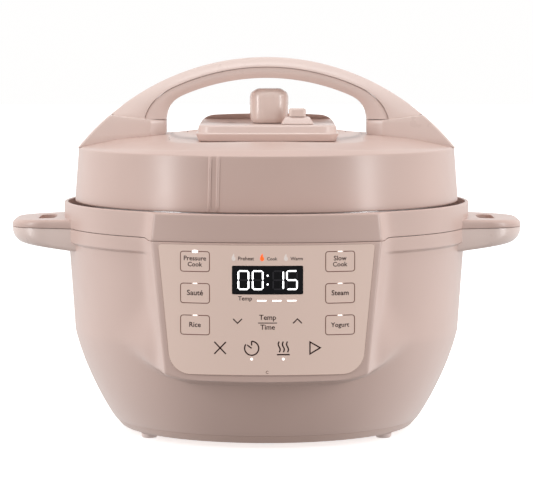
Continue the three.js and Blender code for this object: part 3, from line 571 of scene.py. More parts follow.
def housing():
    heights = [11.3, 12, 13, 14.5, 16.2, 18, 21, 24.5, 28, 31.5, 35, 38.5, 42, 45]
    heights += [47 + i for i in range(10)] + [57 + 0.5 * i for i in range(16)] + [65, 66, 67.5]
    heights += [69.5, 72] + [75 + 4 * i for i in range(20)]
    heights += [154, 156.5, 158.5, 159.8, 160.5, 160.9, 161.3, 161.9, 162.6, 163.0, 163.3, 163.8, 164.6, 166]
    heights += [168.5, 171]
    rows = [outer_ring(z) for z in heights]
    for inset, below in reversed(SEAM_EDGE):
        rows.append(outer_ring(COLLAR.seam, inset, lambda angle: seam_height(angle) - SEAM_HALF_GAP - below))

    def inner(angle, z):
        return min(outer_radius(angle, z + step) for step in (-WALL, 0, WALL)) - WALL

    for z in (173, 163, 156, 115, 86, 66, 60, 52, 30.5, 11.3):
        rows.append(polar_ring(z, lambda angle: inner(angle, z)))
    inlet_hole = upright_block(INLET.half_x, INLET.low, INLET.top, 0.3, 3, [(0, 130), (0, 180)])
    cup_hole = upright_block(CUP.half_x, CUP.low, CUP.top + 2, 2, 4, [(0, 140), (0, 180)])
    return carve(skin(rows, looped=True), cut=[inlet_hole, cup_hole, display_cutter()])


def collar():
    rows = [outer_ring(COLLAR.seam, inset, lambda angle: seam_height(angle) + SEAM_HALF_GAP + above)
            for inset, above in SEAM_EDGE]
    top_edge = fillet([(0, 177), (0, COLLAR.top), (3, COLLAR.top)], 1.1)
    wall = [(0, 176.5), (0, 181), (0, 187), (0, 191.5)] + top_edge[1:-1]
    rows += [outer_ring(z, inset) for inset, z in wall]
    well = fillet([
        (COLLAR.inner + 1.2, COLLAR.top), (COLLAR.inner, COLLAR.top), (COLLAR.inner, COLLAR.floor),
        (COLLAR.neck + 2.5, COLLAR.floor), (COLLAR.neck + 2.5, 182.7), (COLLAR.neck, 182.7),
        (COLLAR.neck, COLLAR.seam),
    ], [0, 0.6, 2.5, 2, 0.8, 0.8, 0], 4)
    rows += [polar_ring(COLLAR.top, lambda angle: radius, lambda angle: z) for radius, z in well]
    right = side_handle_upper()
    return carve(skin(rows, looped=True), add=[right, turned(right, 180)])


# ---- side handles
def side_outline(root_radius, half_width, inset_at):
    """Plan of a side handle, moved inwards everywhere but along its hidden root; the inset depends on x."""
    tip = SIDE_HANDLE.tip
    spread = asin(half_width / root_radius)
    root_x = root_radius * cos(spread)
    bend_x = tip - 30
    straight = [Vector((lerp(root_x, bend_x, k / 5), half_width - 8 * k / 5)) for k in range(5)]
    bend = bezier((bend_x, half_width - 8), (tip, half_width - 14), (tip, 14), 14)
    upper = straight + bend + [Vector((tip, 9)), Vector((tip, 4.5))]
    path = [Vector((p.x, -p.y)) for p in upper] + [Vector((tip, 0))] + upper[::-1]
    root = [Vector((root_radius * cos(spread * k / 4), root_radius * sin(spread * k / 4)))
            for k in range(3, -4, -1)]
    return offset_path(path, inset_at) + root


def slot_outline(outline, grow):
    """A rounded slot with one point towards each point of the outline."""
    half_x = SIDE_HANDLE.slot_half_x + grow
    half_y = SIDE_HANDLE.slot_half_y + grow
    power = 5
    ring = []
    for point in outline:
        direction = (point - Vector((SIDE_HANDLE.slot_x, 0))).normalized()
        reach = (abs(direction.x / half_x) ** power + abs(direction.y / half_y) ** power) ** (-1 / power)
        ring.append(Vector((SIDE_HANDLE.slot_x, 0)) + direction * reach)
    return ring


def side_handle(start, end, edge, half_width, root_end):
    """Half a side handle between its flat parting face and its shaped face; end and edge depend on x."""
    step = 1 if end(200) > start else -1
    rows = []
    for inset, rise in ((0.4, 0), (0.1, 0.1), (0, 0.4)):
        outline = side_outline(SIDE_HANDLE.root, half_width, lambda x: inset)
        rows.append([(p.x, p.y, start + step * rise) for p in outline])
    for k in range(9):
        turn = pi / 2 * k / 8
        outline = side_outline(root_end, half_width, lambda x: edge(x) * (1 - cos(turn)))
        rows.append([(p.x, p.y, end(p.x) - step * edge(p.x) * (1 - sin(turn))) for p in outline])
    for grow, drop in ((1.4, 0), (0.5, 0.15), (0.1, 0.5), (0, 1.4)):
        rows.append([(p.x, p.y, end(p.x) - step * drop) for p in slot_outline(outline, grow)])
    rows.append([(p.x, p.y, start) for p in slot_outline(outline, 0)])
    return skin(rows, looped=True)


def handle_slope(root_z, tip_z):
    return lambda x: lerp(root_z, tip_z, (x - 168) / (SIDE_HANDLE.tip - 168))


def side_handle_upper():
    return side_handle(COLLAR.seam + SEAM_HALF_GAP, handle_slope(SIDE_HANDLE.root_top, SIDE_HANDLE.tip_top),
                       lambda x: lerp(2.6, 4.2, smoothstep(180, 212, x)), SIDE_HANDLE.half_width,
                       SIDE_HANDLE.root)


def side_handle_lower():
    return side_handle(COLLAR.seam - SEAM_HALF_GAP, handle_slope(SIDE_HANDLE.root_low, SIDE_HANDLE.tip_low),
                       lambda x: lerp(3.5, 11.5, smoothstep(178, 216, x)), SIDE_HANDLE.half_width - 0.6,
                       166.8)


# ---- underside and rear
STUDS = ring_places(95, (30, 150, 270))
BOSSES = ring_places(100, (45, 135, 225, 315))


def bottom_cover():
    path = [(0, 4.5), (123.6, 4.5), (129.6, 11.2), (126.4, 11.2), (121, 7), (0, 7)]
    vents = [upright_slot(0, 10 * i, 26, 2.2, 0, 10) for i in range(-2, 3)]
    bores = [post(x, y, 2.4, 0, 10, 24) for x, y in STUDS]
    return carve(turning(path, [0, 2, 0.15, 0.8, 1.5, 0], 4, 160), cut=[*vents, *bores])


def upright_slot(x, y, half_x, half_y, low, high):
    return rounded_block(x, y, half_x, half_y, half_y - 0.1, [(0, low), (0, high)])


def foot(x, y):
    radius, height = FOOT.radius, FOOT.height
    path = [(0, 0), (radius - 0.8, 0), (radius, height - 0.2), (0, height)]
    return turning(path, [0, 1.2, 0.2, 0], 4, 48, x=x, y=y)


def screw(x, y, seat, head_radius, shank_radius, length):
    """A pan-head screw with a cross recess; its head's seat is at a height and its shank points up."""
    face = seat - 2.2
    path = [(0, face), (head_radius, face), (head_radius, seat), (shank_radius, seat),
            (shank_radius, seat + length - 1), (0, seat + length)]
    arms = [box((x - half_x, y - half_y, face - 1), (x + half_x, y + half_y, face + 1))
            for half_x, half_y in ((2, 0.45), (0.45, 2))]
    return carve(turning(path, [0, 1.3, 0, 0.2, 0.3, 0], 4, 32, x=x, y=y), cut=arms)


def inlet_socket():
    layers = [(0, INLET.front), (0, INLET.back - 1.2), (0.3, INLET.back - 0.4), (1.2, INLET.back)]
    block = upright_block(INLET.half_x, INLET.low, INLET.top, 0, 3, layers)
    mouth = upright_block(INLET.mouth_half_x, INLET.mouth_low, INLET.mouth_top, 0, 3,
                          [(0, INLET.mouth_front), (0, INLET.back - 0.8), (-0.8, INLET.back + 0.1)])
    blades = [box((x - 1.3, 138.5, 65.7), (x + 1.3, 150, 70.8)) for x in (-7, 0, 7)]
    return carve(block, cut=[mouth, *blades])


def cup_outline(inset):
    """Plan of the condensation cup: flat towards the housing, bowed outwards at the back."""
    half_x = CUP.half_x - inset
    corner, back = CUP.corner_y, CUP.back
    bow = bezier((half_x, corner - inset), (0, 2 * back - corner - inset), (-half_x, corner - inset), 16)
    path = [(-half_x, CUP.front + inset), (half_x, CUP.front + inset), *bow]
    return fillet(path, [2, 2] + [0] * len(bow), 3, closed=True)


def condensation_cup():
    low, top, wall = CUP.low, CUP.top, CUP.wall
    outside = [(3, low), (1.2, low + 0.5), (0.3, low + 1.6), (0, low + 3.2), (0, top - 0.6), (0.5, top)]
    inside = [(wall - 0.5, top), (wall, top - 0.6), (wall, low + 4), (wall + 1.2, low + 2.4),
              (wall + 3, low + wall)]
    return skin([[(x, y, z) for x, y in cup_outline(inset)] for inset, z in outside + inside])


def cup_bracket():
    block = upright_block(CUP.half_x, CUP.low, CUP.top, 6, 4, [(0, 151.5), (0, 155.4), (0.6, 156)])
    recess = upright_block(CUP.half_x, CUP.low, CUP.top, 2, 3, [(0, 154), (0, 170)])
    return carve(block, cut=[recess])


# ---- pot, seal and what the lid covers
def inner_pot():
    path = [(0, 44), (112, 44), (124, 47), (130, 58), (130, 186.5), (138, 186.5), (138, 188.8), (131, 190),
            (128, 188.4), (128, 59), (122.6, 48.8), (111, 46), (0, 46)]
    return turning(path, [0, 4, 6, 6, 0.8, 0.6, 1, 2, 2, 5, 6, 4, 0], 6, 180)


def outer_pot():
    path = [(38, 26), (112, 26), (128, 32), (135, 48), (135, 183), (145, 183), (145, 186), (133, 186),
            (133, 49), (126.8, 33.6), (111.5, 28), (38, 28)]
    shell = turning(path, [0, 4, 5, 5, 0, 0.6, 0.6, 1.5, 5, 5, 4, 0], 4, 160, closed=True)
    teeth = [sector(143, 151, i * BAYONET.pitch, BAYONET.tooth, 183) for i in range(BAYONET.count)]
    studs = [post(x, y, 5, 8, 26.5) for x, y in STUDS]
    return joined(shell, *teeth, *studs)


def sector(inner, outer, middle, width, low):
    """A flat ring sector with softened edges, its middle counted in degrees from +X."""
    top = low + 3
    corners = [(inner, low), (outer, low), (outer, top), (inner, top)]
    section = fillet(corners, 0.4, 2, closed=True)
    rows = []
    for k in range(15):
        angle = radians(middle + width * (k / 14 - 0.5))
        rows.append([(radius * cos(angle), radius * sin(angle), z) for radius, z in section])
    return skin(rows)


def heating_plate():
    rings = []
    for radius in (95, 78, 61, 44):
        rings += [(radius + 1.2, 43.7), (radius + 0.5, 43.2), (radius - 0.5, 43.2), (radius - 1.2, 43.7)]
    profile = [(16, 37), (101, 37), (105, 40), (104.4, 42.6), (102, 43.7), *rings, (17, 43.7), (16, 43)]
    return revolve(profile, 144, closed=True)


def temperature_sensor():
    path = [(0, 21), (6, 21), (6, 38), (14, 38), (14, 43.7), (0, 43.7)]
    return turning(path, [0, 0.6, 0.6, 0.5, 1.4, 0], 4, 64)


def sealing_ring():
    path = [(130, 191), (138.5, 190.4), (140, 192), (140, 203), (139, 203.7), (131, 203.7), (130, 202.5),
            (130, 199.5), (135.5, 199), (135.5, 195.5), (130, 195)]
    return turning(path, 0.8, 3, 160, closed=True)


def ring_rack():
    return turning([(127, 196), (134.8, 196), (134.8, 198.4), (127, 198.4)], 1.1, 5, 144, closed=True)


def lid_liner():
    path = [(0, 204), (141, 204), (155, 199.2), (155, 178), (156.5, 178), (156.5, 200), (141, 205.5),
            (0, 205.5)]
    lugs = [sector(147, 155.6, (i + 0.5) * BAYONET.pitch, BAYONET.lug, 178.5)
            for i in range(BAYONET.count)]
    holes = [post(VALVE.x, 0, 4.2, 200, 210), post(FLOAT.x, FLOAT.y, 4.4, 200, 210)]
    holes += [post(x, y, 2.4, 200, 210, 20) for x, y in BOSSES]
    sheet = turning(path, [0, 6, 3, 0.5, 0.5, 4, 6, 0], 5, 160)
    return joined(carve(sheet, cut=holes), *lugs)


def anti_block_shield():
    path = [(0, 189), (14, 189), (15, 190.5), (15, 203.6), (13.8, 203.6), (13.8, 191.5), (12.8, 190.4),
            (0, 190.4)]
    cap = turning(path, [0, 1, 1, 0.3, 0.3, 0.8, 0.8, 0], 3, 64)
    slots = [turned(box((-20, -1.4, 192.5), (20, 1.4, 198)), angle) for angle in (0, 60, 120)]
    return moved(carve(cap, cut=slots), Matrix.Translation((VALVE.x, 0, 0)))


def steam_pipe():
    path = [(1.6, 198.5), (3.6, 198.5), (3.6, 205.8), (8, 205.8), (8, 208), (3.6, 208), (3.6, 272),
            (1.6, 272)]
    return turning(path, 0.3, 2, 40, closed=True, x=VALVE.x)


def steam_pipe_nut():
    nut = rounded_hexagon(VALVE.x, 0, 7.8, [(0.6, 199), (0, 199.6), (0, 203), (0.6, 203.6)])
    return carve(nut, cut=[post(VALVE.x, 0, 4.1, 195, 208)])


def rounded_hexagon(x, y, reach, layers):
    rows = []
    for inset, z in layers:
        corners = ring_places(reach - inset, range(0, 360, 60))
        rows.append([(x + px, y + py, z) for px, py in fillet(corners, 0.8, 2, closed=True)])
    return skin(rows)


def float_pin():
    path = [(0, 190.5), (2, 190.5), (2, 206), (FLOAT.radius, 206), (FLOAT.radius, 257.5), (0, 257.5)]
    return turning(path, [0, 0.4, 0.4, 0.5, 0.8, 0], 3, 40, x=FLOAT.x, y=FLOAT.y)


def float_cap():
    path = [(2.3, 192.5), (5.5, 192.5), (6, 197.5), (2.3, 197.5)]
    return turning(path, 0.7, 3, 40, closed=True, x=FLOAT.x, y=FLOAT.y)


# ---- lid
RIB_ANGLES = (-16.4, -14.0)      # two fine ribs on the skirt, degrees from the front
RIB_HALF_WIDTH, RIB_HEIGHT = 0.5, 1.3


def lid_angles():
    angles = {round(i * 1.8, 3) for i in range(200)}
    for middle in RIB_ANGLES:
        angles |= {round((middle + RIB_HALF_WIDTH * k / 4) % 360, 3) for k in range(-5, 6)}
    return sorted(angles)


def rib_height(degrees):
    """How far the skirt's ribs stand out in a direction."""
    signed = degrees - 360 if degrees > 180 else degrees
    distance = min(abs(signed - middle) for middle in RIB_ANGLES) / RIB_HALF_WIDTH
    return RIB_HEIGHT * sqrt(max(1 - distance ** 2, 0))


def lid_section(degrees):
    """The lid's section in one direction: (radius, z) from the middle of the deck round to the inside."""
    angle = radians(degrees)
    wide, deep = LID.shoulder_radius - 1.5, LID.chamfer
    edge = 1 / sqrt((sin(angle) / wide) ** 2 + (cos(angle) / deep) ** 2)
    edge_z = lerp(245.6, LID.shoulder + 0.7, (edge - deep) / (wide - deep))
    rib = rib_height(degrees)
    skirt = [(lerp(LID.skirt_radius, LID.shoulder_radius, (z - 198) / (LID.shoulder - 198)) + rib, z)
             for z in (238, 230, 220, 210, 200)]
    path = [
        (0, LID.deck), (30, LID.deck), (60, LID.deck), (LID.deck_radius, LID.deck), (103, 250.8),
        (127, 248.4), (edge, edge_z), (LID.shoulder_radius, LID.shoulder), *skirt,
        (LID.skirt_radius, LID.skirt_low), (158.4, LID.skirt_low), (156.2, 236), (150, 241.2), (127, 244.3),
        (60, 244.3), (0, 244.3),
    ]
    reach = [0, 0, 0, 8, 8, 8, 1.6, 0.9, 0, 0, 0, 0, 0, 0.9, 0.8, 3, 4, 0, 0, 0]
    return fillet(path, reach, 4)


def crown(x, y):
    """How far the deck is raised around the rear of the sunk field."""
    return 2.6 * smoothstep(92, 52, abs(x)) * smoothstep(60, 100, y) * smoothstep(150, 128, hypot(x, y))


def soften(shape, width, chosen):
    """Rounds the sharp edges whose middle point is chosen."""
    mesh = mesh_of(shape, 1)
    bm = bmesh.new()
    bm.from_mesh(mesh)
    edges = [edge for edge in bm.edges if len(edge.link_faces) == 2 and edge.calc_face_angle(0) > radians(25)
             and chosen((edge.verts[0].co + edge.verts[1].co) / 2)]
    bmesh.ops.bevel(bm, geom=edges, offset=width, segments=3, profile=0.5, affect="EDGES")
    points = [tuple(vertex.co) for vertex in bm.verts]
    bm.verts.index_update()
    faces = [tuple(vertex.index for vertex in face.verts) for face in bm.faces]
    bm.free()
    return points, faces


def lid_cover():
    angles = lid_angles()
    sections = [lid_section(degrees) for degrees in angles]
    underside = 244.5
    rows = []
    for ring in zip(*sections):
        row = []
        for degrees, (radius, z) in zip(angles, ring):
            x, y = radius * sin(radians(degrees)), -radius * cos(radians(degrees))
            row.append((x, y, z + crown(x, y) if z > underside else z))
        rows.append(row)
    dish = [(22, 0), (15, 0.4), (9, 1.1), (4.5, 2), (1.8, 3), (0.5, 4.2), (0, 6), (0, 16)]
    layers = [(inset, WELL.floor + rise) for inset, rise in dish]
    well = rounded_block(0, 0, WELL.half_x + 1, WELL.half_y + 1, WELL.corner, layers, 14)
    holes = [post(VALVE.x, 0, 5, 240, 260), post(FLOAT.x, FLOAT.y, 4.6, 240, 260)]
    cut = carve(skin(rows), cut=[well, *holes])

    def on_rim(middle):
        outside = max(abs(middle.x) - (WELL.half_x - WELL.corner), 0)
        beyond = max(abs(middle.y) - (WELL.half_y - WELL.corner), 0)
        near_wall = abs(hypot(outside, beyond) - WELL.corner) < 1.8
        return near_wall and middle.z > WELL.floor + 0.6

    return soften(cut, 0.9, on_rim)


# ---- carrying handle
HANDLE_STEPS = 44
STUB_TOP, HANDLE_LOW = HANDLE.joint - 0.3, HANDLE.joint + 0.3     # either side of the joint's fine gap


def arc_z(radius, centre, x):
    return centre + sqrt(radius ** 2 - x ** 2)


def outer_arc_x(z):
    return sqrt(HANDLE.outer_radius ** 2 - (z - HANDLE.outer_centre) ** 2)


def half_outer(end_z):
    """The handle's outer arc from its top to where it meets the joint."""
    radius = HANDLE.outer_radius
    step = asin(outer_arc_x(end_z) / radius) / HANDLE_STEPS
    return [Vector((radius * sin(k * step), HANDLE.outer_centre + radius * cos(k * step)))
            for k in range(HANDLE_STEPS + 1)]


def half_inner(radius, centre, arc_x, control, end_x):
    """An arc from the top that turns down to the joint through a smooth bend."""
    count = round(HANDLE_STEPS * 0.62)
    arc = [Vector((arc_x * k / count, arc_z(radius, centre, arc_x * k / count))) for k in range(count)]
    start = (arc_x, arc_z(radius, centre, arc_x))
    return arc + bezier(start, control, (end_x, HANDLE_LOW), HANDLE_STEPS - count)


def whole(half):
    return [Vector((-p.x, p.y)) for p in reversed(half[1:])] + half


def seam_path(shift):
    path = whole(half_inner(HANDLE.seam_radius, HANDLE.seam_centre, 76, (99, 283), HANDLE.seam_half))
    moved_path = offset_path(path, lambda x: shift)
    for end in (0, -1):
        moved_path[end].y = HANDLE_LOW
    return moved_path


def joint_rise(x):
    """The joint between handle and stubs is level, and turns up at its outer end."""
    return 4 * min(max((abs(x) - 121) / 9, 0), 1) ** 2


def band(outer, inner, outer_half, inner_half, outer_round, inner_round, bulge=0, steps=6):
    """A bar swept between two paths in XZ, with a tapered, bulging section and rounded edges."""
    strips = 12
    shares = [k / strips for k in range(strips + 1)]
    reach = [inner_round] + [0] * (strips - 1) + [outer_round]
    reach += reach[::-1]
    rows = []
    for high, low in zip(outer, inner):
        height = (high - low).length
        front = [(height * t, -lerp(inner_half, outer_half, t ** 1.6) - bulge * sin(pi * t)) for t in shares]
        path = front + [(along, -y) for along, y in reversed(front)]
        up = (high - low) / height
        rows.append([(low.x + up.x * along, y, low.y + up.y * along)
                     for along, y in fillet(path, reach, steps, closed=True)])
    for end in (0, -1):
        rows[end] = [(x, y, HANDLE_LOW + joint_rise(x)) for x, y, _ in rows[end]]
    return skin(rows)


def handle_top_shell():
    outer = whole(half_outer(HANDLE_LOW + joint_rise(134)))
    return band(outer, seam_path(0.14), HANDLE.grip_half - 8.5, HANDLE.grip_half, 1.6, 0.3)


def handle_grip():
    opening = whole(half_inner(HANDLE.open_radius, HANDLE.open_centre, 70, (84.5, 279), HANDLE.open_half))
    return band(seam_path(-0.14), opening, HANDLE.grip_half - 1, HANDLE.grip_half - 3.5, 0.3, 3, 1.6, 8)


def deck_z(x, y):
    """The lid's top surface, simplified, under the handle's stubs."""
    radius = hypot(x, y)
    path = [(0, 252), (88, 252), (103, 250.8), (127, 248.4), (150, 244.6), (158.5, 241.6), (170, 238)]
    for (low_radius, low), (high_radius, high) in zip(path, path[1:]):
        if radius <= high_radius:
            return lerp(low, high, (radius - low_radius) / (high_radius - low_radius))
    return path[-1][1]


def stub_plan(outer_x):
    """Plan of a stub at one height: its inner end is drawn in behind a soft crease."""
    half = HANDLE.stub_half
    inner_x = HANDLE.open_half
    corners = [(inner_x, -half + 9), (inner_x + 13, -half), (outer_x, -half), (outer_x, half),
               (inner_x + 13, half), (inner_x, half - 9)]
    return fillet(corners, [2.5, 1.2, 3, 3, 1.2, 2.5], 5, closed=True)


def handle_stub():
    """From the joint down to the deck; each point settles on its height, as the arc and both faces slope."""
    middle_x = 110
    levels = [(0, 0.5), (0.012, 0.12), (0.035, 0), (0.25, 0), (0.5, 0), (0.75, 0), (0.94, 0), (1, -0.5)]
    rows = []
    for level, inset in levels:
        row = []
        for place in range(len(stub_plan(150))):
            z = STUB_TOP
            for _ in range(8):
                x, y = stub_plan(outer_arc_x(z) + 0.35 - inset)[place]
                z = lerp(STUB_TOP + joint_rise(x), deck_z(x, y) + 0.05, level)
            x += inset if x < middle_x else 0
            y -= copysign(inset, y)
            row.append((x, y, z))
        rows.append(row)
    return skin(rows)


# ---- steam island, valve and switch
def steam_island():
    low, top, ridge = ISLAND.low, ISLAND.top, ISLAND.ridge
    layers = fillet([
        (5, low), (2.4, low), (0.2, ridge - 0.5), (0.2, ridge + 0.3), (1.6, ridge + 0.9), (2.6, top),
        (8, top), (16, top),
    ], [0, 1, 0.8, 0.5, 0.5, 1.8, 0, 0], 5)
    body = rounded_block(ISLAND.x, ISLAND.y, ISLAND.half_x, ISLAND.half_y, ISLAND.corner, layers, 12)
    wall_top = ISLAND.wall_top
    side = [(57.2, top - 3), (57, 260.6), (56, 262.4), (53.6, 264.4), (50, 266.2), (46.5, wall_top - 1.3),
            (30, wall_top - 0.5), (0, wall_top)]
    outline = fillet(side + [(-x, z) for x, z in reversed(side[:-1])], 2, 3)
    foot = top + 2.8
    ramp = [(17.5, top - 0.4, 0), (18.5, top + 0.1, 0), (22, top + 0.9, 0), (26, top + 1.9, 0)]
    front = [(29.6, foot, 0), (29.9, wall_top - 0.5, 0.9), (30.3, wall_top, 0.9)]
    rear = [(31.8, wall_top, 0), (32.2, wall_top - 0.5, 0)]
    guard = skin([[(ISLAND.x + x, y - lean * max(min(z, level) - foot, 0), min(z, level)) for x, z in outline]
                  for y, level, lean in ramp + front + rear])
    holes = [post(VALVE.x, 0, 5.2, 244, 263), post(FLOAT.x, FLOAT.y, 4.6, 244, 263)]
    return carve(body, add=[guard], cut=holes)


def steam_valve():
    low, top = VALVE.low, VALVE.top
    layers = fillet([
        (9, low), (2.6, low), (0.6, low + 3), (0, low + 9), (0, top - 6.5), (1.2, top - 3.4),
        (6.6, top - 0.1), (14, top),
    ], [0, 1.2, 1.6, 3, 2, 1.4, 1.4, 0], 5)
    column = rounded_block(VALVE.x, 0, VALVE.half, VALVE.half, 13.5, layers, 18)
    return carve(column, cut=[post(VALVE.x, 0, VALVE.bore, low - 1, low + 15)])


def switch_base():
    middle, half = span(SWITCH.low_x, SWITCH.high_x)
    low, top = ISLAND.top + 0.2, SWITCH.low - 0.3
    layers = fillet([(6, low), (0, low), (0, low + 0.7), (3.6, top), (9, top)], [0, 0.3, 0.5, 0.9, 0], 4)
    return rounded_block(middle, -25.5, half + 6.4, 9, 3.5, layers, 8)


def release_switch():
    middle_x, half_x = span(SWITCH.low_x, SWITCH.high_x)
    middle_y, half_y = span(SWITCH.front, SWITCH.back)
    low, top = SWITCH.low, SWITCH.top
    layers = fillet([(3, low), (0, low), (0, top), (4, top)], [0, 0.4, 2.4, 0], 6)
    return rounded_block(middle_x, middle_y, half_x, half_y, 3.2, layers, 8)


# ---- control film and what is printed on it
GLASS_FRONT = 0.8       # how far the display glass stands before the pod's face


def corner_rise(distance, radius):
    return 0 if distance >= radius else radius - sqrt(radius ** 2 - (radius - distance) ** 2)


def film_half(z):
    return lerp(FILM.half_low, FILM.half_top, (z - FILM.low) / (FILM.top - FILM.low))


def eased(count):
    """Shares from 0 to 1 that lie closer together towards both ends."""
    return [0.5 - 0.5 * cos(pi * k / count) for k in range(count + 1)]


def control_film():
    front = FILM.front
    rows = []
    for t in eased(72):
        side = min(t, 1 - t) * 2 * FILM.half_low + 0.15
        low = FILM.low + corner_rise(side, FILM.low_corner)
        high = FILM.top - corner_rise(side, FILM.top_corner)
        row = []
        for z, depth in ((low, 0.5), (low, front - 0.12), (low + 0.12, front), (high - 0.12, front),
                         (high, front - 0.12), (high, 0.5)):
            x = lerp(-film_half(z), film_half(z), t)
            row.append((x, face_y(x) - depth, z))
        rows.append(row)
    return carve(skin(rows), cut=[display_cutter()])


def display_window():
    back, edge, columns = -2.7, 0.15, 24
    rows = []
    for k in range(columns + 1):
        x = lerp(DISPLAY.low_x, DISPLAY.high_x, k / columns)
        inset, depth = (0.8, GLASS_FRONT - 0.1) if k in (0, columns) else (0, GLASS_FRONT)
        low, high = DISPLAY.low + inset, DISPLAY.high - inset
        section = [(low, back), (low, depth - edge), (low + edge, depth), (high - edge, depth),
                   (high, depth - edge), (high, back)]
        rows.append([(x, face_y(x) - reach, z) for z, reach in section])
    return skin(rows)


def dense(path, closed):
    """Adds points to a 2D path, so that a line printed along it follows the pod's curved face."""
    step = 2.5
    ends = path[1:] + ([path[0]] if closed else [])
    result = []
    for start, end in zip(path, ends):
        a, b = Vector(start), Vector(end)
        count = max(1, ceil((b - a).length / step))
        result += [a.lerp(b, k / count) for k in range(count)]
    return result if closed else result + [Vector(path[-1])]


def stroke(path, width, closed=False):
    """A line of one width along a 2D path, as a flat strip."""
    path = dense(path, closed)
    count = len(path)
    left, right = [], []
    for i, point in enumerate(path):
        before = path[i - 1] if closed or i > 0 else None
        after = path[(i + 1) % count] if closed or i < count - 1 else None
        into = (point - before).normalized() if before is not None else (after - point).normalized()
        out = (after - point).normalized() if after is not None else into
        along = (into + out).normalized()
        across = Vector((-along.y, along.x)) * width / 2 / max(along.dot(into), 0.4)
        left.append(point + across)
        right.append(point - across)
    points = left + right
    pairs = [(i, (i + 1) % count) for i in range(count if closed else count - 1)]
    return points, [(i, k, count + k, count + i) for i, k in pairs]


def filled(path):
    return [Vector(point) for point in path], [tuple(range(len(path)))]


def disc(x, z, radius):
    rim = ring_places(radius, range(0, 360, 18))
    return filled([(x + px, z + pz) for px, pz in rim])


def bar(x, z, half_x, half_z, corner):
    return filled([(px, pz) for px, pz, _ in rounded_ring(x, z, half_x, half_z, corner, 0, 3)])


def printed(flats, depth):
    """Flat 2D shapes as thin ink on the pod's curved face, standing proud of a depth before the face."""
    points, faces = joined(*flats)
    count = len(points)
    thickness = 0.05
    front = [(x, face_y(x) - depth - thickness, z) for x, z in points]
    back = [(x, face_y(x) - depth + thickness, z) for x, z in points]
    sides = {}
    for face in faces:
        for a, b in zip(face, face[1:] + face[:1]):
            if (b, a) in sides:
                del sides[(b, a)]
            else:
                sides[(a, b)] = True
    walls = [(b, a, a + count, b + count) for a, b in sides]
    return front + back, list(faces) + [tuple(i + count for i in reversed(face)) for face in faces] + walls


def lettering(text, x, z, width):
    """A word in the built-in typeface, scaled to a width and centred over a 2D point."""
    curve = bpy.data.curves.new("word", "FONT")
    curve.body = text
    curve.resolution_u = 3
    curve.offset = 0.012
    writer = bpy.data.objects.new("word", curve)
    scene.collection.objects.link(writer)
    bpy.context.view_layer.update()
    mesh = bpy.data.meshes.new_from_object(writer.evaluated_get(bpy.context.evaluated_depsgraph_get()))
    bpy.data.objects.remove(writer)
    low = min(vertex.co.x for vertex in mesh.vertices)
    high = max(vertex.co.x for vertex in mesh.vertices)
    scale = width / (high - low)
    points = [Vector((x - width / 2 + (vertex.co.x - low) * scale, z + vertex.co.y * scale))
              for vertex in mesh.vertices]
    return points, [tuple(polygon.vertices) for polygon in mesh.polygons]


# keys: middle x, lowest and highest z, and the words on them with their widths
KEYS = [
    (-56.9, 149.9, 165.9, [("Pressure", 17.8, 158.8), ("Cook", 11.6, 154.0)]),
    (-56.9, 124.7, 140.4, [("Sauté", 12.8, 131.0)]),
    (-56.9, 99.4, 114.9, [("Rice", 9.2, 105.6)]),
    (58.6, 149.9, 165.9, [("Slow", 10.2, 158.8), ("Cook", 11.6, 154.0)]),
    (58.6, 124.7, 140.4, [("Steam", 13.6, 131.0)]),
    (58.6, 99.4, 114.9, [("Yogurt", 14.6, 105.6)]),
]
KEY_HALF, KEY_CORNER, KEY_GAP = 11.6, 2.4, 2.6
STATUS = [(-26.2, -16.2, "Preheat", 12.6), (-3.6, 4.5, "Cook", 8.2), (15.3, 23.9, "Warm", 9.8)]


def key_outline(middle, low, high):
    """A rounded key outline that is open at the middle of its top edge."""
    left, right = middle - KEY_HALF, middle + KEY_HALF
    path = [(middle + KEY_GAP, high), (right, high), (right, low), (left, low), (left, high),
            (middle - KEY_GAP, high)]
    return stroke(fillet(path, KEY_CORNER, 5), 0.6)


def flame(x, z, size):
    """A small flame with a curled tip."""
    tip, waist, base, side, nook = (0.1, 1.15), (-0.5, -0.05), (0.05, -1), (0.55, -0.1), (0.2, 0.15)
    path = bezier(tip, (-0.35, 0.55), waist, 5) + bezier(waist, (-0.7, -0.75), base, 5)[:-1]
    path += bezier(base, (0.75, -0.85), side, 5) + bezier(side, (0.5, 0.2), nook, 4)[:-1]
    path += bezier(nook, (0.35, 0.7), tip, 5)[:-1]
    return filled([(x + p.x * size, z + p.y * size) for p in path])


def arc_path(x, z, radius, start, end):
    return [(x + px, z + pz) for px, pz in ring_places(radius, [lerp(start, end, k / 30) for k in range(31)])]


TIMER_X, WARM_X = -11.8, 13.4


def function_icons():
    """Cancel, timer, keep warm and start, in one row."""
    z, width = 89.2, 1.05
    cancel, start = -36.9, 38.6
    lines = [
        [(cancel - 4.6, z - 4.8), (cancel + 4.6, z + 4.8)],
        [(cancel - 4.6, z + 4.8), (cancel + 4.6, z - 4.8)],
        arc_path(TIMER_X, z, 5.6, 88, -215),
        [(TIMER_X, z + 5.8), (TIMER_X, z + 2.2)],
        [(TIMER_X, z), (TIMER_X - 3.6, z + 2.6)],
        [(WARM_X - 5.1, z - 5.1), (WARM_X + 5.1, z - 5.1)],
    ]
    for middle in (-3.3, 0, 3.3):
        lines.append([(WARM_X + middle + 0.75 * sin(pi * k / 8), z - 3.2 + 8.6 * k / 16) for k in range(17)])
    triangle = [(start - 4, z - 4.8), (start + 4.2, z), (start - 4, z + 4.8)]
    return [stroke(line, width) for line in lines] + [stroke(triangle, width, closed=True)]


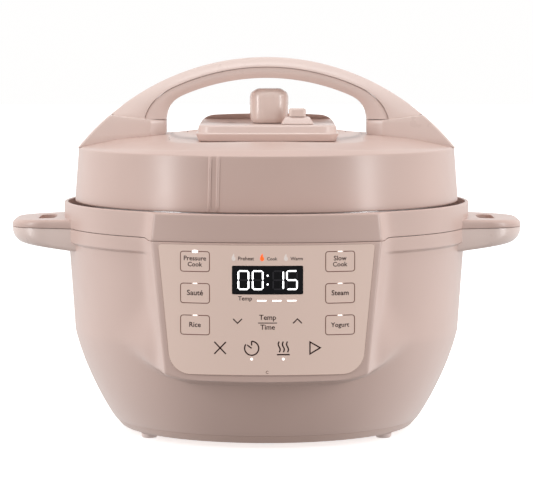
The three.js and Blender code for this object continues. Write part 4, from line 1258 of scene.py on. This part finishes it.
def chevrons():
    """One pointing down at the left and one pointing up at the right."""
    return [stroke([(x - 3.5, ends), (x, point), (x + 3.5, ends)], 0.9)
            for x, ends, point in ((-23, 112.6, 109.1), (24.6, 109.1, 112.6))]


DIGIT = Sizes(half_x=4.6, low=135.7, high=151.4, width=1.2, gap=0.3)
SEGMENTS = {  # ends of each bar in cell units: x -1..1, z 0..2
    "a": ((-1, 2), (1, 2)), "b": ((1, 2), (1, 1)), "c": ((1, 1), (1, 0)), "d": ((1, 0), (-1, 0)),
    "e": ((-1, 0), (-1, 1)), "f": ((-1, 1), (-1, 2)), "g": ((-1, 1), (1, 1)),
}
LIT = {"0": "abcdef", "1": "bc", "5": "acdfg"}
DIGITS = [(-18.3, "0"), (-7.0, "0"), (9.3, "1"), (20.2, "5")]


def segment(middle, ends):
    """One bar of a seven-segment digit: a hexagon between two corners of its cell."""
    half = DIGIT.width / 2
    reach_x = DIGIT.half_x - half
    low, high = DIGIT.low + half, DIGIT.high - half
    start, end = (Vector((middle + x * reach_x, lerp(low, high, z / 2))) for x, z in ends)
    along = (end - start).normalized()
    across = Vector((-along.y, along.x)) * half
    start += along * DIGIT.gap
    end -= along * DIGIT.gap
    inset = along * half
    return filled([start, start + inset + across, end - inset + across, end, end - inset - across,
                   start + inset - across])


def digit_segments(lit):
    return [segment(middle, ends) for middle, digit in DIGITS for name, ends in SEGMENTS.items()
            if (name in LIT[digit]) == lit]


def film_outline(inset):
    """The film's edge, moved inwards, as a closed 2D path."""
    low, high = [], []
    for t in eased(60):
        side = min(t, 1 - t) * 2 * FILM.half_low
        for path, z, corner, sign in ((low, FILM.low, FILM.low_corner, 1),
                                      (high, FILM.top, FILM.top_corner, -1)):
            level = z + sign * (inset + corner_rise(side, corner - inset))
            half = film_half(level) - inset
            path.append((lerp(-half, half, t), level))
    return low + high[::-1]


# ---- assembly
stood_for = set()


def on_panel(name, finish, flats, depth=FILM.front):
    """Prints flat shapes on the control film, or at another depth before the pod's face."""
    add_piece(name, "base", finish, printed(flats, depth))


def look(node, body, finish, shape):
    """A finished piece that stands for one node of the frame."""
    add_piece(f"{node}_look", body, finish, shape, [node])
    stood_for.add(node)


def looks(body, finish, *builders):
    """Finished pieces for the nodes that the builders are named after."""
    for build in builders:
        look(build.__name__, body, finish, build())


def screws(prefix, places, body, seat, head_radius, shank_radius, length):
    for number, (x, y) in enumerate(places, 1):
        look(f"{prefix}_{number}", body, "steel_satin", screw(x, y, seat, head_radius, shank_radius, length))


looks("base", "blush_plastic", housing, collar)
# The side handles' lower halves take the lighter blush, which is painted light.
look("handle_lower_right", "base", "blush_painted_lit", side_handle_lower())
look("handle_lower_left", "base", "blush_painted_lit", turned(side_handle_lower(), 180))
looks("base", "blush_lower", bottom_cover)
for number, (side, depth) in enumerate([(1, 1), (-1, 1), (-1, -1), (1, -1)], 1):
    look(f"foot_{number}", "base", "foot_rubber", foot(side * FOOT.x, depth * FOOT.y))
screws("bottom_screw", STUDS, "base", 4.2, 4, 1.9, 12)
looks("base", "dark_plastic", inlet_socket)
looks("base", "blush_lower", cup_bracket)
looks("cup", "blush_lower", condensation_cup)

looks("base", "aluminium", outer_pot, heating_plate)
looks("sensor", "steel_satin", temperature_sensor)
looks("pot", "stainless", inner_pot)
looks("seal", "silicone", sealing_ring)
looks("seal", "steel_satin", ring_rack)

looks("lid", "stainless", lid_liner)
looks("lid", "steel_satin", anti_block_shield, steam_pipe, steam_pipe_nut)
looks("float", "steel_satin", float_pin)
looks("float", "silicone", float_cap)
screws("lid_screw", BOSSES, "lid", 203.7, 4, 1.8, 12)
screws("handle_screw", [(112, 14), (112, -14), (-112, 14), (-112, -14)], "lid", 246, 3.8, 1.8, 14)

looks("lid", "blush_plastic", lid_cover)
# The handle, its stubs, the steam island and the switch base take the lighter blush, which is painted light.
looks("lid", "blush_painted_lit", handle_top_shell, handle_grip)
look("handle_stub_right", "lid", "blush_painted_lit", handle_stub())
look("handle_stub_left", "lid", "blush_painted_lit", turned(handle_stub(), 180))
looks("lid", "blush_painted_lit", steam_island, switch_base)
# The release switch and the valve take the glossy blush, whose lighter colour is painted light.
looks("switch", "glossy_blush_painted_lit", release_switch)
looks("valve", "glossy_blush_painted_lit", steam_valve)

looks("base", "panel_film", control_film)
looks("base", "display_black", display_window)


# ---- printing and lamps on the panel
# The dark line printed round the film is painted shade, standing for the groove's shadow at its edge.
on_panel("painted_shade_rim", "edge_ink_painted_shade", [stroke(film_outline(0.2), 0.2, closed=True)])
on_panel("key_outlines", "print_line", [key_outline(*key[:3]) for key in KEYS])
on_panel("key_words", "print_dark", [lettering(word, middle, z, width)
                                     for middle, _, _, words in KEYS for word, width, z in words])
on_panel("function_icons", "print_dark", function_icons())
on_panel("set_words", "print_dark", [lettering("Temp", 0.9, 112, 13.4), lettering("Time", 0.9, 104.2, 11.6),
                                     stroke([(-6.7, 109.4), (8.4, 109.4)], 0.7)])
on_panel("chevrons", "print_dark", chevrons())

lit_x, _, lit_z, _ = KEYS[0]
on_panel("key_lamps", "light_soft", [bar(middle, high, 1.75, 0.45, 0.4) for middle, _, high, _ in KEYS[1:]])
on_panel("key_lamp_lit", "light_white", [bar(lit_x, lit_z, 2.3, 1.1, 1)])
on_panel("function_lamps", "light_soft", [disc(TIMER_X, 80.5, 1.1), disc(WARM_X, 80.5, 1.1)])
on_panel("sensor_dot", "print_line", [stroke(arc_path(0.7, 70, 1, 40, 320), 0.4)])

preheat, cook, warm = [flame(x, 161.5, 2.8) for x, _, _, _ in STATUS]
on_panel("status_words", "print_dark", [lettering(word, x, 159.4, width) for _, x, word, width in STATUS])
on_panel("status_flames", "flame_pale", [preheat, warm])
on_panel("status_flame_lit", "light_orange", [cook])

colon = [disc(0.9, 147.2, 0.75), disc(0.9, 140.2, 0.75)]
on_panel("level_word", "print_dark", [lettering("Temp", -17, 127.4, 11.1)])
on_panel("level_bars", "light_white", [bar(x, 127.2, 3.7, 0.42, 0.35) for x in (-3.8, 8.2, 20.1)])
on_panel("digits_lit", "light_white", digit_segments(True) + colon, GLASS_FRONT)
on_panel("digits_unlit", "segment_off", digit_segments(False), GLASS_FRONT)

# ---- finishes of the frame's own nodes
for entry in frame["record"]["subparts"]:
    if entry["node"] not in stood_for:
        for holder in frame["nodes"][entry["node"]].material_slots:
            holder.material = FINISH[entry["material_slot"]]


# ---- studio
SKY = {"base": 0.04, "sides": 0.9, "ahead": 0.12, "behind": 0.8, "above": 0.5, "far_floor": 1.5}


def studio_world():
    """White behind the object. Its light is bright at the sides, behind and on the far floor, dim ahead."""
    world = bpy.data.worlds.new("studio")
    nodes = Nodes(world)
    maths = nodes.maths
    x, y, z = nodes.parts(nodes.node("ShaderNodeTexCoord", {}, "Generated"))
    aside = maths("ABSOLUTE", x)
    front = maths("MULTIPLY", maths("MINIMUM", y, 0), -1)
    down = maths("MULTIPLY", maths("MINIMUM", z, 0), -1)
    level = maths("MULTIPLY", maths("SUBTRACT", 1, down), aside)
    terms = {"sides": maths("POWER", aside, 2), "ahead": maths("POWER", front, 2),
             "behind": maths("MAXIMUM", y, 0), "above": maths("MAXIMUM", z, 0),
             "far_floor": maths("MULTIPLY", down, level)}
    total = SKY["base"]
    for name, term in terms.items():
        total = maths("ADD", total, maths("MULTIPLY", term, SKY[name]))
    seen = nodes.node("ShaderNodeLightPath", {}, "Is Camera Ray")
    background = nodes.tree.nodes["Background"].inputs
    background["Color"].default_value = (1, 0.995, 0.99, 1)
    nodes.tree.links.new(maths("MAXIMUM", maths("MAXIMUM", total, 0.02), seen), background["Strength"])
    scene.world = world


def softbox(name, place, target, width, height, power):
    lamp = bpy.data.lights.new(name, "AREA")
    lamp.shape = "RECTANGLE"
    lamp.size, lamp.size_y = width, height
    lamp.energy = power
    holder = bpy.data.objects.new(name, lamp)
    holder.location = place
    holder.rotation_euler = (Vector(target) - Vector(place)).to_track_quat("-Z", "Y").to_euler()
    holder.visible_camera = False
    scene.collection.objects.link(holder)


studio_world()
for side, x in (("left", -1.75), ("right", 1.75)):
    softbox(f"softbox_{side}", (x, -1.0, 0.45), (0, 0, 0.17), 0.3, 1.5, 15)
softbox("softbox_top", (0, -0.3, 2.0), (0, 0, 0.25), 1.8, 0.8, 12)

floor_mesh = bpy.data.meshes.new("floor")
floor_mesh.from_pydata([(-8, -8, 0), (8, -8, 0), (8, 8, 0), (-8, 8, 0)], [], [(0, 1, 2, 3)])
floor_finish = Finish("floor_white")
floor_finish.tint(floor_finish.noise(2), (1, 1, 1, 1), 0.93, 0.96)
floor_finish.set(Roughness=0.9, Emission_Color=(1, 1, 1, 1), Emission_Strength=0.6)
floor_mesh.materials.append(FINISH["floor_white"])
ground = bpy.data.objects.new("floor", floor_mesh)
scene.collection.objects.link(ground)
ground.visible_diffuse = False
ground.visible_glossy = False

lens = bpy.data.cameras.new("camera")
lens.sensor_width = 36
lens.lens = 190.04
camera = bpy.data.objects.new("camera", lens)
camera.location = (0, -2.3974, 0.3591)
camera.rotation_euler = (radians(90 - 4.939), 0, 0)
scene.collection.objects.link(camera)
scene.camera = camera
